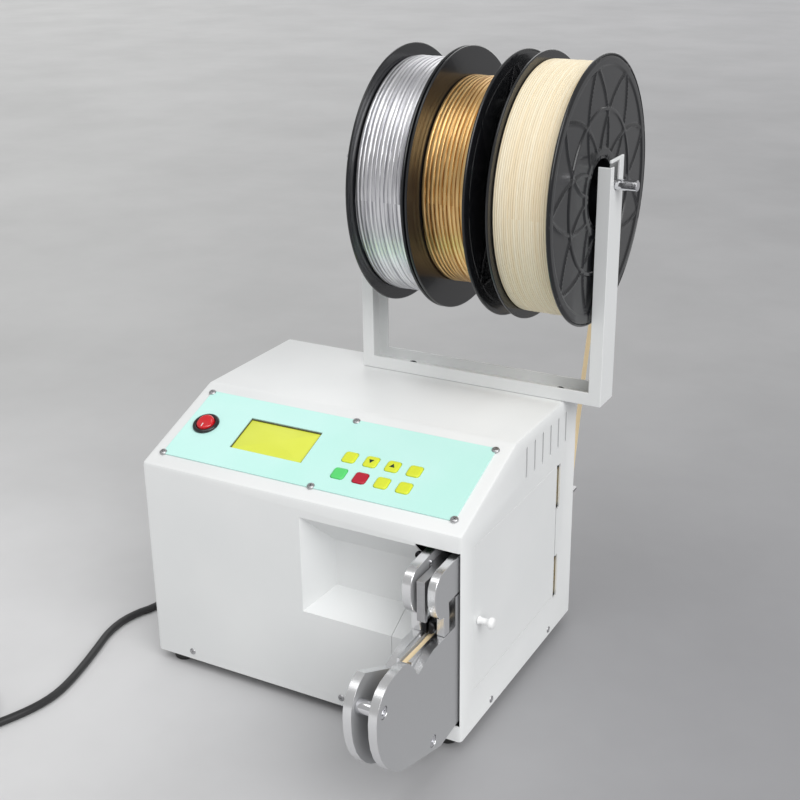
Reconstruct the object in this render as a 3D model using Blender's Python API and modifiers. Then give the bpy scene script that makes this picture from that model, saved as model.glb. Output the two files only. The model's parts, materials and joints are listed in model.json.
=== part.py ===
"""Cable winding and tying machine: a bench housing with a sloping key panel, a front tying arm and
a rack of three tie spools. Everything is drawn about one datum: x is across the housing from its
middle, y runs back from its front face, z rises from its bottom edge. Lengths are in metres."""

import math

import bmesh
import bpy
import numpy as np
from mathutils import Matrix, Quaternion, Vector

# Clearances shared by the whole machine
GAP = 0.0003
OVERRUN = 0.002
MERGE = 0.00001
TURN_STEPS = 18
SPOOL_STEPS = 28
HINGE_STEPS = 12
SMALL_STEPS = 14
POST_STEPS = 8
ROUTE_SAMPLES = 24

# Housing
BODY_W = 0.300
BODY_D = 0.228
FRONT_H = 0.183
BODY_H = 0.221
SLOPE_RUN = 0.100
SHEET = 0.0015
FOLD_R = 0.003
FOLD_LEAST_ANGLE = math.radians(12.0)
FLAT_ANGLE = math.radians(0.1)
SLOPE_ANGLE = math.atan2(BODY_H - FRONT_H, SLOPE_RUN)
HALF_W = BODY_W / 2
SIDE_IN = HALF_W - SHEET
PAN_LIP = 0.012

# Feet
FOOT_H = 0.010
FOOT_R = 0.010
FOOT_TAPER = 0.0015
FOOT_INSET_X = 0.018
FOOT_INSET_Y = 0.014

# Front recess, a pocket with sloping walls
RECESS_LEFT_SHARE = 0.04
RECESS_LOW = 0.081
RECESS_BELOW_FOLD = 0.016
RECESS_DEPTH = 0.028
RECESS_LEFT_FLARE = 0.016
RECESS_LOW_FLARE = 0.015
RECESS_TOP_FLARE = 0.029
RECESS_LEFT = HALF_W * RECESS_LEFT_SHARE
RECESS_TOP = FRONT_H - RECESS_BELOW_FOLD
RECESS_IN_LEFT = RECESS_LEFT + RECESS_LEFT_FLARE
RECESS_IN_LOW = RECESS_LOW + RECESS_LOW_FLARE
RECESS_IN_TOP = RECESS_TOP - RECESS_TOP_FLARE

# Opening for the tying head, at the right of the front
HEAD_LEFT_IN = 0.0395
HEAD_BELOW_FOLD = 0.014
HEAD_BOTTOM = 0.014
THROAT_LEFT_IN = 0.0615
THROAT_RIGHT_IN = 0.0328
HEAD_LEFT = HALF_W - HEAD_LEFT_IN
HEAD_TOP = FRONT_H - HEAD_BELOW_FOLD
THROAT_LEFT = HALF_W - THROAT_LEFT_IN
THROAT_RIGHT = HALF_W - THROAT_RIGHT_IN

# Vents high on both side walls
VENT_COUNT = 6
VENT_LAST_IN = 0.0238
VENT_PITCH = 0.0169
VENT_W = 0.0028
VENT_END_SHARE = 0.9
VENT_BELOW_TOP = 0.0115
VENT_L = 0.0290
VENT_TOP = BODY_H - VENT_BELOW_TOP
VENT_LOW = VENT_TOP - VENT_L

# Key panel, measured on the slope: u across, v up from the front fold, n out of the panel
FASCIA_SIDE_IN = 0.0125
FASCIA_HALF_W = HALF_W - FASCIA_SIDE_IN
FASCIA_LOW = 0.0135
FASCIA_TOP = 0.0955
FASCIA_T = 0.0010
FASCIA_CORNER = 0.003
LCD_MIDDLE_SHARE = -0.3157
LCD_W = 0.0703
LCD_LEFT = HALF_W * LCD_MIDDLE_SHARE - LCD_W / 2
LCD_RIGHT = LCD_LEFT + LCD_W
LCD_LOW = 0.0365
LCD_TOP = 0.0732
LCD_SINK = 0.0016
LCD_RIM = 0.006
LCD_BODY = 0.0085
KEY_SIZE = 0.0120
KEY_CORNER = 0.0025
KEY_PITCH = 0.0197
KEY_MIDDLE_SHARE = 0.3667
KEY_STEPS = (-1.5, -0.5, 0.5, 1.5)
KEY_COLUMNS = tuple(HALF_W * KEY_MIDDLE_SHARE + KEY_PITCH * step for step in KEY_STEPS)
KEY_ROWS = (0.0532, 0.0341)
KEY_PROUD = 0.0010
KEY_DEPTH = 0.0060
KEY_TRAVEL = 0.0005
BOARD_T = 0.0016
BOARD_DROP = 0.0140
BOARD_MARGIN = 0.014
POST_R = 0.0030
SWITCH_POST_R = 0.0030

# Round power switch
SWITCH_SHARE = -0.7927
SWITCH_U = HALF_W * SWITCH_SHARE
SWITCH_V = 0.0553
BEZEL_R = 0.0119
BEZEL_H = 0.0022
SWITCH_BARREL_R = 0.0098
SWITCH_DEPTH = 0.020
ROCKER_R = 0.0081
ROCKER_T = 0.0056
ROCKER_POCKET_R = 0.0085
ROCKER_PIVOT_N = 0.0030
ROCKER_POCKET_DEPTH = 0.0055
ROCKER_TILT = math.radians(7.0)

# Side door and its hinges
DOOR_FRONT = 0.0215
DOOR_REAR_IN = 0.0390
DOOR_REAR = BODY_D - DOOR_REAR_IN
DOOR_LOW = 0.0360
DOOR_BELOW_TOP = 0.0560
DOOR_TOP = BODY_H - DOOR_BELOW_TOP
DOOR_SWING_GAP = 0.0015
HINGE_BEHIND = 0.0020
HINGE_SIDE_IN = 0.0032
HINGE_R = 0.0024
HINGE_SLOT_BEHIND = 0.0060
HINGE_SLOT_L = 0.0424
HINGE_LOW_DROP = 0.0026
HINGE_TOP_DROP = 0.0007
HINGE_END = 0.0042
HINGE_Y = DOOR_REAR + HINGE_BEHIND
HINGE_X = HALF_W - HINGE_SIDE_IN
HINGE_SLOT_REAR = DOOR_REAR + HINGE_SLOT_BEHIND
HINGE_SLOT_LOW = DOOR_LOW - HINGE_LOW_DROP
HINGE_SLOT_TOP = DOOR_TOP - HINGE_TOP_DROP
HINGE_SPANS = (
    (HINGE_SLOT_LOW, HINGE_SLOT_LOW + HINGE_SLOT_L),
    (HINGE_SLOT_TOP - HINGE_SLOT_L, HINGE_SLOT_TOP),
)
LEAF_T = 0.0013
LEAF_WELD = 0.0005
LEAF_L = 0.013
KNOB_Y = 0.030
KNOB_Z = 0.097
KNOB_R = 0.0048
KNOB_NECK_R = 0.0036
KNOB_L = 0.014
KNOB_HEAD_L = 0.005
KNOB_FACE_SHARE = 0.7

# Lower arm, two aluminium plates
ARM_RIGHT_IN = 0.0040
ARM_T = 0.0070
ARM_SPACE = 0.0135
ARM_RIGHT = (HALF_W - ARM_RIGHT_IN - ARM_T, HALF_W - ARM_RIGHT_IN)
ARM_LEFT = (ARM_RIGHT[0] - ARM_SPACE - ARM_T, ARM_RIGHT[0] - ARM_SPACE)
ARM_HEEL_Z = 0.0170
ARM_SOLE_Y = -0.0270
ARM_SOLE_Z = 0.0140
LEDGE_BELOW_FOLD = 0.0757
LEDGE_Z = FRONT_H - LEDGE_BELOW_FOLD
ARM_BELLY_Y = -0.0650
ARM_BELLY_DROP = 0.0193
ARM_BELLY_Z = LEDGE_Z - ARM_BELLY_DROP
ARM_BELLY_R = 0.0600
ARM_NOSE_Y = -0.0990
ARM_NOSE_DROP = 0.0137
ARM_NOSE_Z = LEDGE_Z - ARM_NOSE_DROP
ARM_NOSE_R = 0.0260
ARM_BUMP_Y = -0.0860
ARM_BUMP_RISE = 0.0137
ARM_BUMP_Z = LEDGE_Z + ARM_BUMP_RISE
ARM_BUMP_SHARES = (0.4, 0.8)
ARM_NOTCH_Y = -0.0635
ARM_NOTCH_DROP = 0.0070
ARM_NOTCH_Z = LEDGE_Z - ARM_NOTCH_DROP
RAMP_REAR_Y = -0.0390
UPRIGHT_FRONT = -0.0020
UPRIGHT_REAR = 0.0300
UPRIGHT_RISE = 0.0257
UPRIGHT_TOP = LEDGE_Z + UPRIGHT_RISE
ROD_Y = -0.1144
ROD_DROP = 0.0081
ROD_Z = LEDGE_Z - ROD_DROP
ROD_R = 0.0040
ROD_MIDDLE_R = 0.0056
ROD_HEAD_R = 0.0048
ROD_HEAD_T = 0.0024
ROD_SEAT_R = 0.0052
ROD_SEAT_D = 0.0030
LOWER_ROD_Y = -0.0397
LOWER_ROD_RISE = -0.0002
LOWER_ROD_SHARE = 0.25
LOWER_ROD_Z = LEDGE_Z * LOWER_ROD_SHARE + LOWER_ROD_RISE

# Guide block between the arm plates
CHANNEL_FRONT = -0.0680
CHANNEL_NOSE_R = 0.0090
CHANNEL_DROP = 0.0012
CHANNEL_H = 0.0440
CHANNEL_TOP = LEDGE_Z - CHANNEL_DROP
CHANNEL_LOW = CHANNEL_TOP - CHANNEL_H
GROOVE_W = 0.0065
GROOVE_D = 0.0035
GROOVE_FLOOR = CHANNEL_TOP - GROOVE_D

# Jaws on the slide
JAW_EXTRA_T = 0.0010
JAW_LEFT = (ARM_LEFT[0] - JAW_EXTRA_T, ARM_LEFT[1])
JAW_RIGHT = ARM_RIGHT
JAW_BELOW_FOLD = 0.0175
JAW_TOP = FRONT_H - JAW_BELOW_FOLD
JAW_SHOULDER_Y = -0.0220
JAW_SHOULDER_DROP = 0.0015
JAW_SHOULDER_Z = JAW_TOP - JAW_SHOULDER_DROP
JAW_NOSE_Y = -0.0353
JAW_NOSE_L = 0.0195
JAW_NOSE_LOW = JAW_TOP - JAW_NOSE_L
JAW_CHIN_L = 0.0410
JAW_CHIN_Z = JAW_TOP - JAW_CHIN_L
JAW_CHIN_ANGLES = (22.5, 45, 67.5)
FINGER_FRONT = -0.0205
FINGER_REAR = -0.0120
JAW_NOTCH_Y = -0.0130
JAW_H = 0.0315
JAW_BOTTOM = JAW_TOP - JAW_H
JAW_REAR = 0.0220

# Mechanism frame, a folded steel channel standing on the base pan
FRAME_FRONT = 0.0600
FRAME_REAR = 0.0960
FRAME_WALL = 0.0060
FRAME_CHEEK_IN = 0.0500
FRAME_CHEEK_X = HALF_W - FRAME_CHEEK_IN
FRAME_CHEEK_T = 0.0040
FRAME_RIGHT_IN = 0.0038
FRAME_RIGHT = HALF_W - FRAME_RIGHT_IN
FRAME_BELOW_FOLD = 0.0210
FRAME_TOP = FRONT_H - FRAME_BELOW_FOLD

# Slide bar with its rack, and the pinion below it
RACK_MODULE = 0.0015
RACK_TEETH = 9
RACK_AHEAD_TEETH = 1.5
PINION_TEETH = 12
BAR_H = 0.0180
BAR_DROP = 0.0075
BAR_TOP = JAW_TOP - BAR_DROP
BAR_LOW = BAR_TOP - BAR_H
BAR_FRONT = -0.0060
BAR_REAR = 0.1300
BAR_FINGER_W = 0.0070
BAR_FINGER_FRONT = -0.0325
BAR_FINGER_T = 0.0044
BAR_FINGER_L = 0.0350
BAR_FINGER_LOW = BAR_TOP - BAR_FINGER_L
PINION_Y = 0.0780
GEAR_W = 0.0100
SHAFT_R = 0.0030

# Twist spindle and its gear pair
SPINDLE_RISE = 0.0057
SPINDLE_Z = LEDGE_Z + SPINDLE_RISE
SPINDLE_R = 0.0040
SPINDLE_HEAD_R = 0.0058
SPINDLE_HEAD_FRONT = -0.0220
SPINDLE_HEAD_L = 0.0140
SPINDLE_REAR = 0.1040
HOOK_SLOT_W = 0.0022
HOOK_SLOT_D = 0.0080
TWIST_MODULE = 0.00125
SPINDLE_TEETH = 12
DRIVE_TEETH = 24
TWIST_GEAR_Y = 0.0680
TWIST_GEAR_W = 0.0060

# Gear tooth proportions
PRESSURE_ANGLE = math.radians(20.0)
ADDENDUM_SHARE = 0.85
DEDENDUM_SHARE = 1.30
BACKLASH = 0.00035

# Ribbon feed
FEED_R = 0.0100
PINCH_R = 0.0080
ROLLER_W = 0.0120
FEED_DROP = 0.0653
FEED_Z = LEDGE_Z - FEED_DROP
PINCH_LEVER_W = 0.0080
PINCH_LEVER_T = 0.0030
PINCH_PIVOT_Y = 0.0840
PINCH_PIVOT_DROP = 0.0223
PINCH_PIVOT_Z = LEDGE_Z - PINCH_PIVOT_DROP
PINCH_PIN_R = 0.0020

# Motors
JAW_MOTOR_R = 0.0180
JAW_MOTOR_L = 0.0450
TWIST_MOTOR_R = 0.0145
TWIST_MOTOR_L = 0.0420
FEED_MOTOR_R = 0.0160
FEED_MOTOR_L = 0.0380
MOTOR_CAP_SHARE = 0.72
MOTOR_CAP_L = 0.006

# Power supply block on the base pan
SUPPLY_SIDE_IN = 0.0350
SUPPLY_W = 0.0900
SUPPLY_X = (SUPPLY_SIDE_IN - HALF_W, SUPPLY_SIDE_IN + SUPPLY_W - HALF_W)
SUPPLY_BACK_IN = 0.0330
SUPPLY_L = 0.0800
SUPPLY_Y = (BODY_D - SUPPLY_BACK_IN - SUPPLY_L, BODY_D - SUPPLY_BACK_IN)
SUPPLY_H = 0.0420

# Spool bracket
BRACKET_PAST_SIDE = 0.0328
BRACKET_W = 0.2294
BRACKET_RIGHT = HALF_W + BRACKET_PAST_SIDE
BRACKET_LEFT = BRACKET_RIGHT - BRACKET_W
BRACKET_BACK_IN = 0.0311
BRACKET_FRONT = BODY_D - BRACKET_BACK_IN
BRACKET_D = 0.0290
BRACKET_LIP = 0.0112
BRACKET_T = 0.0020
BRACKET_H = 0.2090
LIP_H = 0.2030
HOOK_BAR = 0.0025

# Spools and their shaft
SHAFT_BEHIND_LIP = 0.0134
SHAFT_Y = BRACKET_FRONT + SHAFT_BEHIND_LIP
SHAFT_RISE = 0.1879
SHAFT_Z = BODY_H + SHAFT_RISE
SPOOL_SHAFT_R = 0.0045
SHAFT_STICK_OUT = 0.0180
SHAFT_CHAMFER = 0.0008
SHAFT_SLOT_PLAY = 0.0018
SPOOL_W = 0.0520
SPOOL_R = 0.1090
SPOOL_RIM_T = 0.0025
SPOOL_HUB_R = 0.0500
SPOOL_MOUTH_R = 0.0270
SPOOL_BORE_R = 0.0130
SPOOL_WEB_T = 0.0040
SPOOL_IN = {"silver": 0.0426, "gold": 0.0956, "cream": 0.1646}
SPOOL_LEFTS = {name: BRACKET_LEFT + reach for name, reach in SPOOL_IN.items()}
SPOOL_BORE_PLAY = 0.0004

# Wound ribbons: an outer layer over a plain core
WIND_TURNS = 6
WIND_POINTS = 24
RIBBON_W = 0.0058
RIBBON_T = 0.0010
RIBBON_SINK = 0.0004
WIND_PITCH = 0.0066
WOUND_R = {"silver": 0.0990, "gold": 0.0860, "cream": 0.1020}

# Tie ribbon in use
TIE_W = 0.0040
TIE_T = 0.0005
TIE_INLET_IN = 0.0080
TIE_INLET_X = HALF_W - TIE_INLET_IN
TIE_HEAD_X = (ARM_LEFT[1] + ARM_RIGHT[0]) / 2
TIE_RUN_CLEAR = 0.0016
TIE_TURN_CLEAR = 0.0012
TIE_TURN_ANGLES = (180, 150, 120, 90)
TIE_STEP = 0.0160
TIE_BEND_STEP = 0.0200
GUIDE_OUT = 0.0120
GUIDE_BELOW_TOP = 0.1020
GUIDE_TO_INLET = 0.0190
GUIDE_Y = BODY_D + GUIDE_OUT
GUIDE_Z = BODY_H - GUIDE_BELOW_TOP
TIE_INLET_Z = GUIDE_Z - GUIDE_TO_INLET
STRAND_SHARES = (0.2, 0.4, 0.6, 0.8)
STRAND_BOW = 0.0140
BEND_Y_SHARE = 0.35
BEND_Z_SHARE = 0.25
INSIDE_SHARES = (0.25, 0.5, 0.75)
LOW_RUN_BEHIND = 0.0260
ARM_RUN_RISE = 0.0040
RETURN_LIFT = 0.0010
GROOVE_RUN_Y = -0.0300
GUIDE_T = 0.0020
GUIDE_MARGIN = 0.0035
GUIDE_SLOT_PLAY = 0.0008

# Mains lead
CORD_R = 0.0035
GLAND_SIDE_IN = 0.0320
GLAND_X = GLAND_SIDE_IN - HALF_W
GLAND_Z = 0.0220
GLAND_FLANGE_R = 0.0090
GLAND_FLANGE_T = 0.0040
GLAND_HOLE_R = 0.0060
GLAND_TIP_R = 0.0046
GLAND_L = 0.0300
GLAND_TAPER_SHARE = 1.5
GLAND_INSIDE = 0.0100
CORD_STEP = 0.0170
COIL_X = -0.2610
COIL_Y = -0.1590
COIL_START_ANGLE = math.radians(-26.7)
COIL_END_TURN = 4.176
COIL_LAYER_TURNS = 2.0
COIL_OUTER_R = 0.0460
COIL_SPACING = 0.0075
COIL_POINTS = 24
COIL_CLIMB_TURNS = 0.5
TIE_BAND_T = 0.0012
TIE_BAND_W = 0.0050
TIE_BAND_CLEAR = 0.0005
PLUG_LEAD = 0.0240
PLUG_L = 0.0340
PLUG_W = 0.0300
PLUG_RELIEF_L = 0.0220
PLUG_RELIEF_R = 0.0052
PLUG_RELIEF_BASE_R = 0.0078
PLUG_EDGE = 0.0040
BLADE_L = 0.0180
BLADE_W = 0.0063
BLADE_T = 0.0016
BLADE_SPREAD = 0.0075

SPINDLE_X = TIE_HEAD_X
RACK_PITCH_Z = BAR_LOW + ADDENDUM_SHARE * RACK_MODULE
PINION_R = RACK_MODULE * PINION_TEETH / 2
PINION_Z = RACK_PITCH_Z - PINION_R
SPINDLE_GEAR_R = TWIST_MODULE * SPINDLE_TEETH / 2
DRIVE_GEAR_R = TWIST_MODULE * DRIVE_TEETH / 2
DRIVE_Z = SPINDLE_Z - SPINDLE_GEAR_R - DRIVE_GEAR_R
RIBBON_RUN_Z = FEED_Z + FEED_R + GAP + TIE_T / 2
PINCH_Z = RIBBON_RUN_Z + TIE_T / 2 + GAP + PINCH_R
SPOOL_Z = SHAFT_Z + SPOOL_SHAFT_R + SPOOL_BORE_PLAY - SPOOL_BORE_R
SHAFT_LEFT = BRACKET_LEFT - SHAFT_STICK_OUT
SHAFT_RIGHT = BRACKET_RIGHT + SHAFT_STICK_OUT
CORD_FLOOR_Z = CORD_R - FOOT_H
COIL_LOW_Z = CORD_FLOOR_Z + TIE_BAND_T + GAP
COIL_HIGH_Z = COIL_LOW_Z + COIL_SPACING
PLUG_HALF_T = COIL_HIGH_Z + FOOT_H
FASCIA_N = GAP + FASCIA_T

# The whole machine's box is centred over the origin, with the feet on the floor
REACH_FRONT = ARM_NOSE_Y - ARM_NOSE_R
REACH_BACK = SHAFT_Y + SPOOL_R
DATUM = Vector((-(SHAFT_RIGHT - BODY_W / 2) / 2, -(REACH_FRONT + REACH_BACK) / 2, FOOT_H))

AXIS_TURN = {
    "X": Quaternion((0.5, 0.5, 0.5, 0.5)),
    "Y": Quaternion((1, 0, 0), math.radians(90)),
    "Z": Quaternion(),
}
SCREW_TURN = {
    "X": Quaternion((0, 1, 0), math.radians(90)),
    "Y": Quaternion((1, 0, 0), math.radians(-90)),
    "Z": Quaternion(),
}

# Finishes: colour, roughness, metallic
FINISHES = {
    "white_paint": ((0.80, 0.82, 0.82), 0.45, 0.0),
    "fascia_film": ((0.55, 0.90, 0.82), 0.40, 0.0),
    "display": ((0.72, 0.80, 0.08), 0.15, 0.0),
    "black_gloss": ((0.012, 0.012, 0.014), 0.15, 0.0),
    "red_gloss": ((0.60, 0.01, 0.02), 0.15, 0.0),
    "key_yellow": ((0.75, 0.82, 0.04), 0.40, 0.0),
    "key_green": ((0.10, 0.70, 0.17), 0.40, 0.0),
    "key_red": ((0.55, 0.01, 0.03), 0.40, 0.0),
    "aluminium": ((0.62, 0.63, 0.64), 0.30, 1.0),
    "steel": ((0.45, 0.45, 0.46), 0.35, 1.0),
    "chrome": ((0.75, 0.75, 0.76), 0.12, 1.0),
    "rubber": ((0.02, 0.02, 0.02), 0.80, 0.0),
    "spool_plastic": ((0.010, 0.010, 0.011), 0.18, 0.0),
    "silver_foil": ((0.80, 0.80, 0.83), 0.15, 1.0),
    "gold_foil": ((0.72, 0.38, 0.06), 0.18, 1.0),
    "cream_paper": ((0.86, 0.74, 0.50), 0.70, 0.0),
    "brass": ((0.60, 0.45, 0.18), 0.35, 1.0),
    "board_green": ((0.03, 0.22, 0.08), 0.50, 0.0),
    "motor_black": ((0.04, 0.04, 0.045), 0.45, 0.0),
    "cord_rubber": ((0.015, 0.015, 0.015), 0.50, 0.0),
}


def clear_scene():
    for obj in list(bpy.data.objects):
        bpy.data.objects.remove(obj, do_unlink=True)


def new_collection(name, hidden):
    collection = bpy.data.collections.new(name)
    collection.hide_render = hidden
    bpy.context.scene.collection.children.link(collection)
    return collection


def new_empty(name, location, parent=None, rotation=None):
    """A frame or a joint's axis: pieces hang on it in its parent's coordinates."""
    empty = bpy.data.objects.new(name, None)
    empty.empty_display_size = FOOT_H
    empty.location = location
    if rotation:
        empty.rotation_euler = rotation
    empty.parent = parent
    PARTS.objects.link(empty)
    return empty


def make_finish(name):
    colour, roughness, metallic = FINISHES[name]
    material = bpy.data.materials.new(name)
    material.use_nodes = True
    shader = material.node_tree.nodes["Principled BSDF"]
    shader.inputs["Base Color"].default_value = (*colour, 1)
    shader.inputs["Roughness"].default_value = roughness
    shader.inputs["Metallic"].default_value = metallic
    material.diffuse_color = (*colour, 1)
    return material


def keep(obj, finish, parent):
    """Files the object as a part with a finish, or as a cutter when it has none."""
    if finish:
        PARTS.objects.link(obj)
        obj.data.materials.append(MATERIALS[finish])
    else:
        CUTTERS.objects.link(obj)
        obj.hide_render = True
        obj.display_type = "WIRE"
    obj.parent = parent or DATUM_EMPTY
    return obj


def hang(obj, empty):
    """Moves a piece to a joint's empty, leaving it where it is."""
    obj.parent = empty
    obj.matrix_parent_inverse = Matrix.LocRotScale(empty.location, None, None).inverted()
    return obj


def box(name, low, high, finish=None, parent=None):
    """A block between two corners."""
    low, high = Vector(low), Vector(high)
    work = bmesh.new()
    bmesh.ops.create_cube(work, size=1)
    bmesh.ops.scale(work, vec=high - low, verts=work.verts)
    bmesh.ops.translate(work, vec=(low + high) / 2, verts=work.verts)
    mesh = bpy.data.meshes.new(name)
    work.to_mesh(mesh)
    work.free()
    return keep(bpy.data.objects.new(name, mesh), finish, parent)


def rod(name, start, axis, length, radius, finish=None, parent=None, sides=TURN_STEPS):
    """A round bar from start, along a named axis."""
    profile = [(0, length), (radius, length), (radius, 0), (0, 0)]
    return turned(name, profile, start, axis, finish, parent, sides)


def turned(name, profile, centre, axis, finish=None, parent=None, steps=TURN_STEPS, ring=False):
    """A profile of (radius, height) swept round an axis, listed from the top down its outer side."""
    count = len(profile)
    edges = [(i, i + 1) for i in range(count - 1)]
    if ring:
        edges.append((count - 1, 0))
    mesh = bpy.data.meshes.new(name)
    mesh.from_pydata([(radius, 0, height) for radius, height in profile], edges, [])
    obj = keep(bpy.data.objects.new(name, mesh), finish, parent)
    obj.location = centre
    obj.rotation_mode = "QUATERNION"
    obj.rotation_quaternion = SCREW_TURN[axis]
    sweep = obj.modifiers.new("sweep", "SCREW")
    sweep.steps = steps
    sweep.render_steps = steps
    sweep.use_merge_vertices = True
    sweep.merge_threshold = MERGE
    sweep.use_smooth_shade = False
    return obj


def plate(name, loops, low, high, axis, finish=None, parent=None, solid=False):
    """A flat outline, with any holes, between two levels of the named axis. Outlines facing X are
    drawn in y and z, those facing Y in x and z, those facing Z in x and y."""
    curve = bpy.data.curves.new(name, "CURVE")
    curve.dimensions = "2D"
    curve.fill_mode = "BOTH"
    curve.extrude = (high - low) / 2
    for loop in loops:
        spline = curve.splines.new("POLY")
        spline.points.add(len(loop) - 1)
        for point, place in zip(spline.points, loop):
            point.co = (place[0], place[1], 0, 1)
        spline.use_cyclic_u = True
    obj = keep(bpy.data.objects.new(name, curve), finish, parent)
    obj.rotation_mode = "QUATERNION"
    obj.rotation_quaternion = AXIS_TURN[axis]
    obj.location["XYZ".index(axis)] = (low + high) / 2
    return as_mesh(obj) if solid or not finish else obj


def tube(name, points, radius, sides_step, finish, parent=None):
    """A round cord along a list of points."""
    curve = bpy.data.curves.new(name, "CURVE")
    curve.dimensions = "3D"
    curve.bevel_depth = radius
    curve.bevel_resolution = sides_step
    curve.use_fill_caps = True
    spline = curve.splines.new("POLY")
    spline.points.add(len(points) - 1)
    for point, place in zip(spline.points, points):
        point.co = (*place, 1)
    return keep(bpy.data.objects.new(name, curve), finish, parent)


def as_mesh(obj):
    """Turns a curve object into a closed mesh object of the same name and place."""
    bpy.context.view_layer.update()
    graph = bpy.context.evaluated_depsgraph_get()
    mesh = bpy.data.meshes.new_from_object(obj.evaluated_get(graph))
    work = bmesh.new()
    work.from_mesh(mesh)
    bmesh.ops.remove_doubles(work, verts=work.verts, dist=MERGE)
    bmesh.ops.dissolve_limit(work, angle_limit=FLAT_ANGLE, verts=work.verts, edges=work.edges)
    work.to_mesh(mesh)
    work.free()
    name = obj.name
    solid = bpy.data.objects.new(name, mesh)
    for collection in obj.users_collection:
        collection.objects.link(solid)
    solid.parent = obj.parent
    solid.matrix_basis = obj.matrix_basis.copy()
    solid.hide_render = obj.hide_render
    solid.display_type = obj.display_type
    bpy.data.objects.remove(obj, do_unlink=True)
    solid.name = name
    return solid


def change(target, other, operation, solver="EXACT"):
    step = target.modifiers.new(operation.lower(), "BOOLEAN")
    step.operation = operation
    step.solver = solver
    step.object = other
    return target


def cut(target, *others, solver="EXACT"):
    for other in others:
        change(target, other, "DIFFERENCE", solver)
    return target


def join(target, *others):
    for other in others:
        change(target, other, "UNION")
    return target


def round_edges(obj, width, segments=2, least_angle=math.radians(30.0)):
    bevel = obj.modifiers.new("edges", "BEVEL")
    bevel.angle_limit = least_angle
    bevel.width = width
    bevel.segments = segments
    bevel.limit_method = "ANGLE"
    bevel.use_clamp_overlap = True
    return obj


def arc(centre, radius, start, end, steps):
    """Points of an arc, angles in degrees from the first axis towards the second."""
    angles = np.radians(np.linspace(start, end, steps + 1))
    return [(centre[0] + radius * math.cos(a), centre[1] + radius * math.sin(a)) for a in angles]


def circle(centre, radius, sides=TURN_STEPS):
    return arc(centre, radius, 0, 360, sides)[:-1]


def rectangle(low, high):
    return [(low[0], low[1]), (high[0], low[1]), (high[0], high[1]), (low[0], high[1])]


def rounded_rectangle(low, high, radius, steps=3):
    """A rectangle with a quarter arc at each corner."""
    corners = [
        ((high[0] - radius, high[1] - radius), 0),
        ((low[0] + radius, high[1] - radius), 90),
        ((low[0] + radius, low[1] + radius), 180),
        ((high[0] - radius, low[1] + radius), 270),
    ]
    points = []
    for centre, start in corners:
        points += arc(centre, radius, start, start + 90, steps)
    return points


def smooth_route(points, step, bend_step=0):
    """A Catmull-Rom curve through the points, then sampled at an even step. Each radian of a
    bend counts as bend_step of extra length, so that a bend gets more points."""
    points = np.array(points, float)
    ends = np.vstack([2 * points[0] - points[1], points, 2 * points[-1] - points[-2]])
    t = np.linspace(0, 1, ROUTE_SAMPLES, endpoint=False)[:, None]
    dense = []
    for a, b, c, d in zip(ends, ends[1:], ends[2:], ends[3:]):
        square, cube = 2 * a - 5 * b + 4 * c - d, 3 * b - a - 3 * c + d
        dense.append((2 * b + (c - a) * t + square * t**2 + cube * t**3) / 2)
    dense = np.vstack(dense + [points[-1:]])
    steps = np.diff(dense, axis=0)
    lengths = np.linalg.norm(steps, axis=1)
    headings = steps / lengths[:, None]
    turns = np.linalg.norm(np.diff(headings, axis=0, prepend=headings[:1]), axis=1)
    along = np.concatenate([[0], np.cumsum(lengths + bend_step * turns)])
    stations = np.linspace(0, along[-1], max(2, round(along[-1] / step) + 1))
    return np.stack([np.interp(stations, along, dense[:, i]) for i in range(3)], axis=1)


def least_gap(points, thickness, reach):
    """The smallest clear distance between stretches of one line that lie further apart along it
    than reach."""
    points = np.array(points, float)
    along = np.concatenate([[0], np.cumsum(np.linalg.norm(np.diff(points, axis=0), axis=1))])
    apart = np.linalg.norm(points[:, None] - points[None], axis=2)
    far = np.abs(along[:, None] - along[None]) > reach
    return float(apart[far].min()) - thickness


def involute(angle):
    return math.tan(angle) - angle


def gear_outline(centre, module, teeth, first_tooth):
    """An involute gear: each flank has a root point, a point on the pitch circle and one at the
    tip. The first tooth points along the given angle."""
    pitch_r = module * teeth / 2
    base_r = pitch_r * math.cos(PRESSURE_ANGLE)
    tip_r = pitch_r + ADDENDUM_SHARE * module
    root_r = pitch_r - DEDENDUM_SHARE * module
    half_at_pitch = math.pi / (2 * teeth) - BACKLASH / (2 * pitch_r)

    def half_angle(radius):
        inner = max(radius, base_r)
        return half_at_pitch + involute(PRESSURE_ANGLE) - involute(math.acos(base_r / inner))

    radii = [root_r, pitch_r, tip_r]
    points = []
    for tooth in range(teeth):
        middle = first_tooth + 2 * math.pi * tooth / teeth
        flank = [(radius, middle - half_angle(radius)) for radius in radii]
        flank += [(radius, middle + half_angle(radius)) for radius in reversed(radii)]
        points += [(centre[0] + r * math.cos(a), centre[1] + r * math.sin(a)) for r, a in flank]
    return points


def body_outline(inset):
    """The housing seen from the side, in y and z: front, slope, top and back."""
    fall = (BODY_H - FRONT_H) / SLOPE_RUN
    slope_inset = inset / math.cos(SLOPE_ANGLE)
    front_top = FRONT_H + fall * inset - slope_inset
    past = FOLD_R + OVERRUN + inset
    return [
        (inset, -past),
        (inset, front_top),
        ((BODY_H - inset + slope_inset - FRONT_H) / fall, BODY_H - inset),
        (BODY_D + past, BODY_H - inset),
        (BODY_D + past, -past),
    ]


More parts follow.
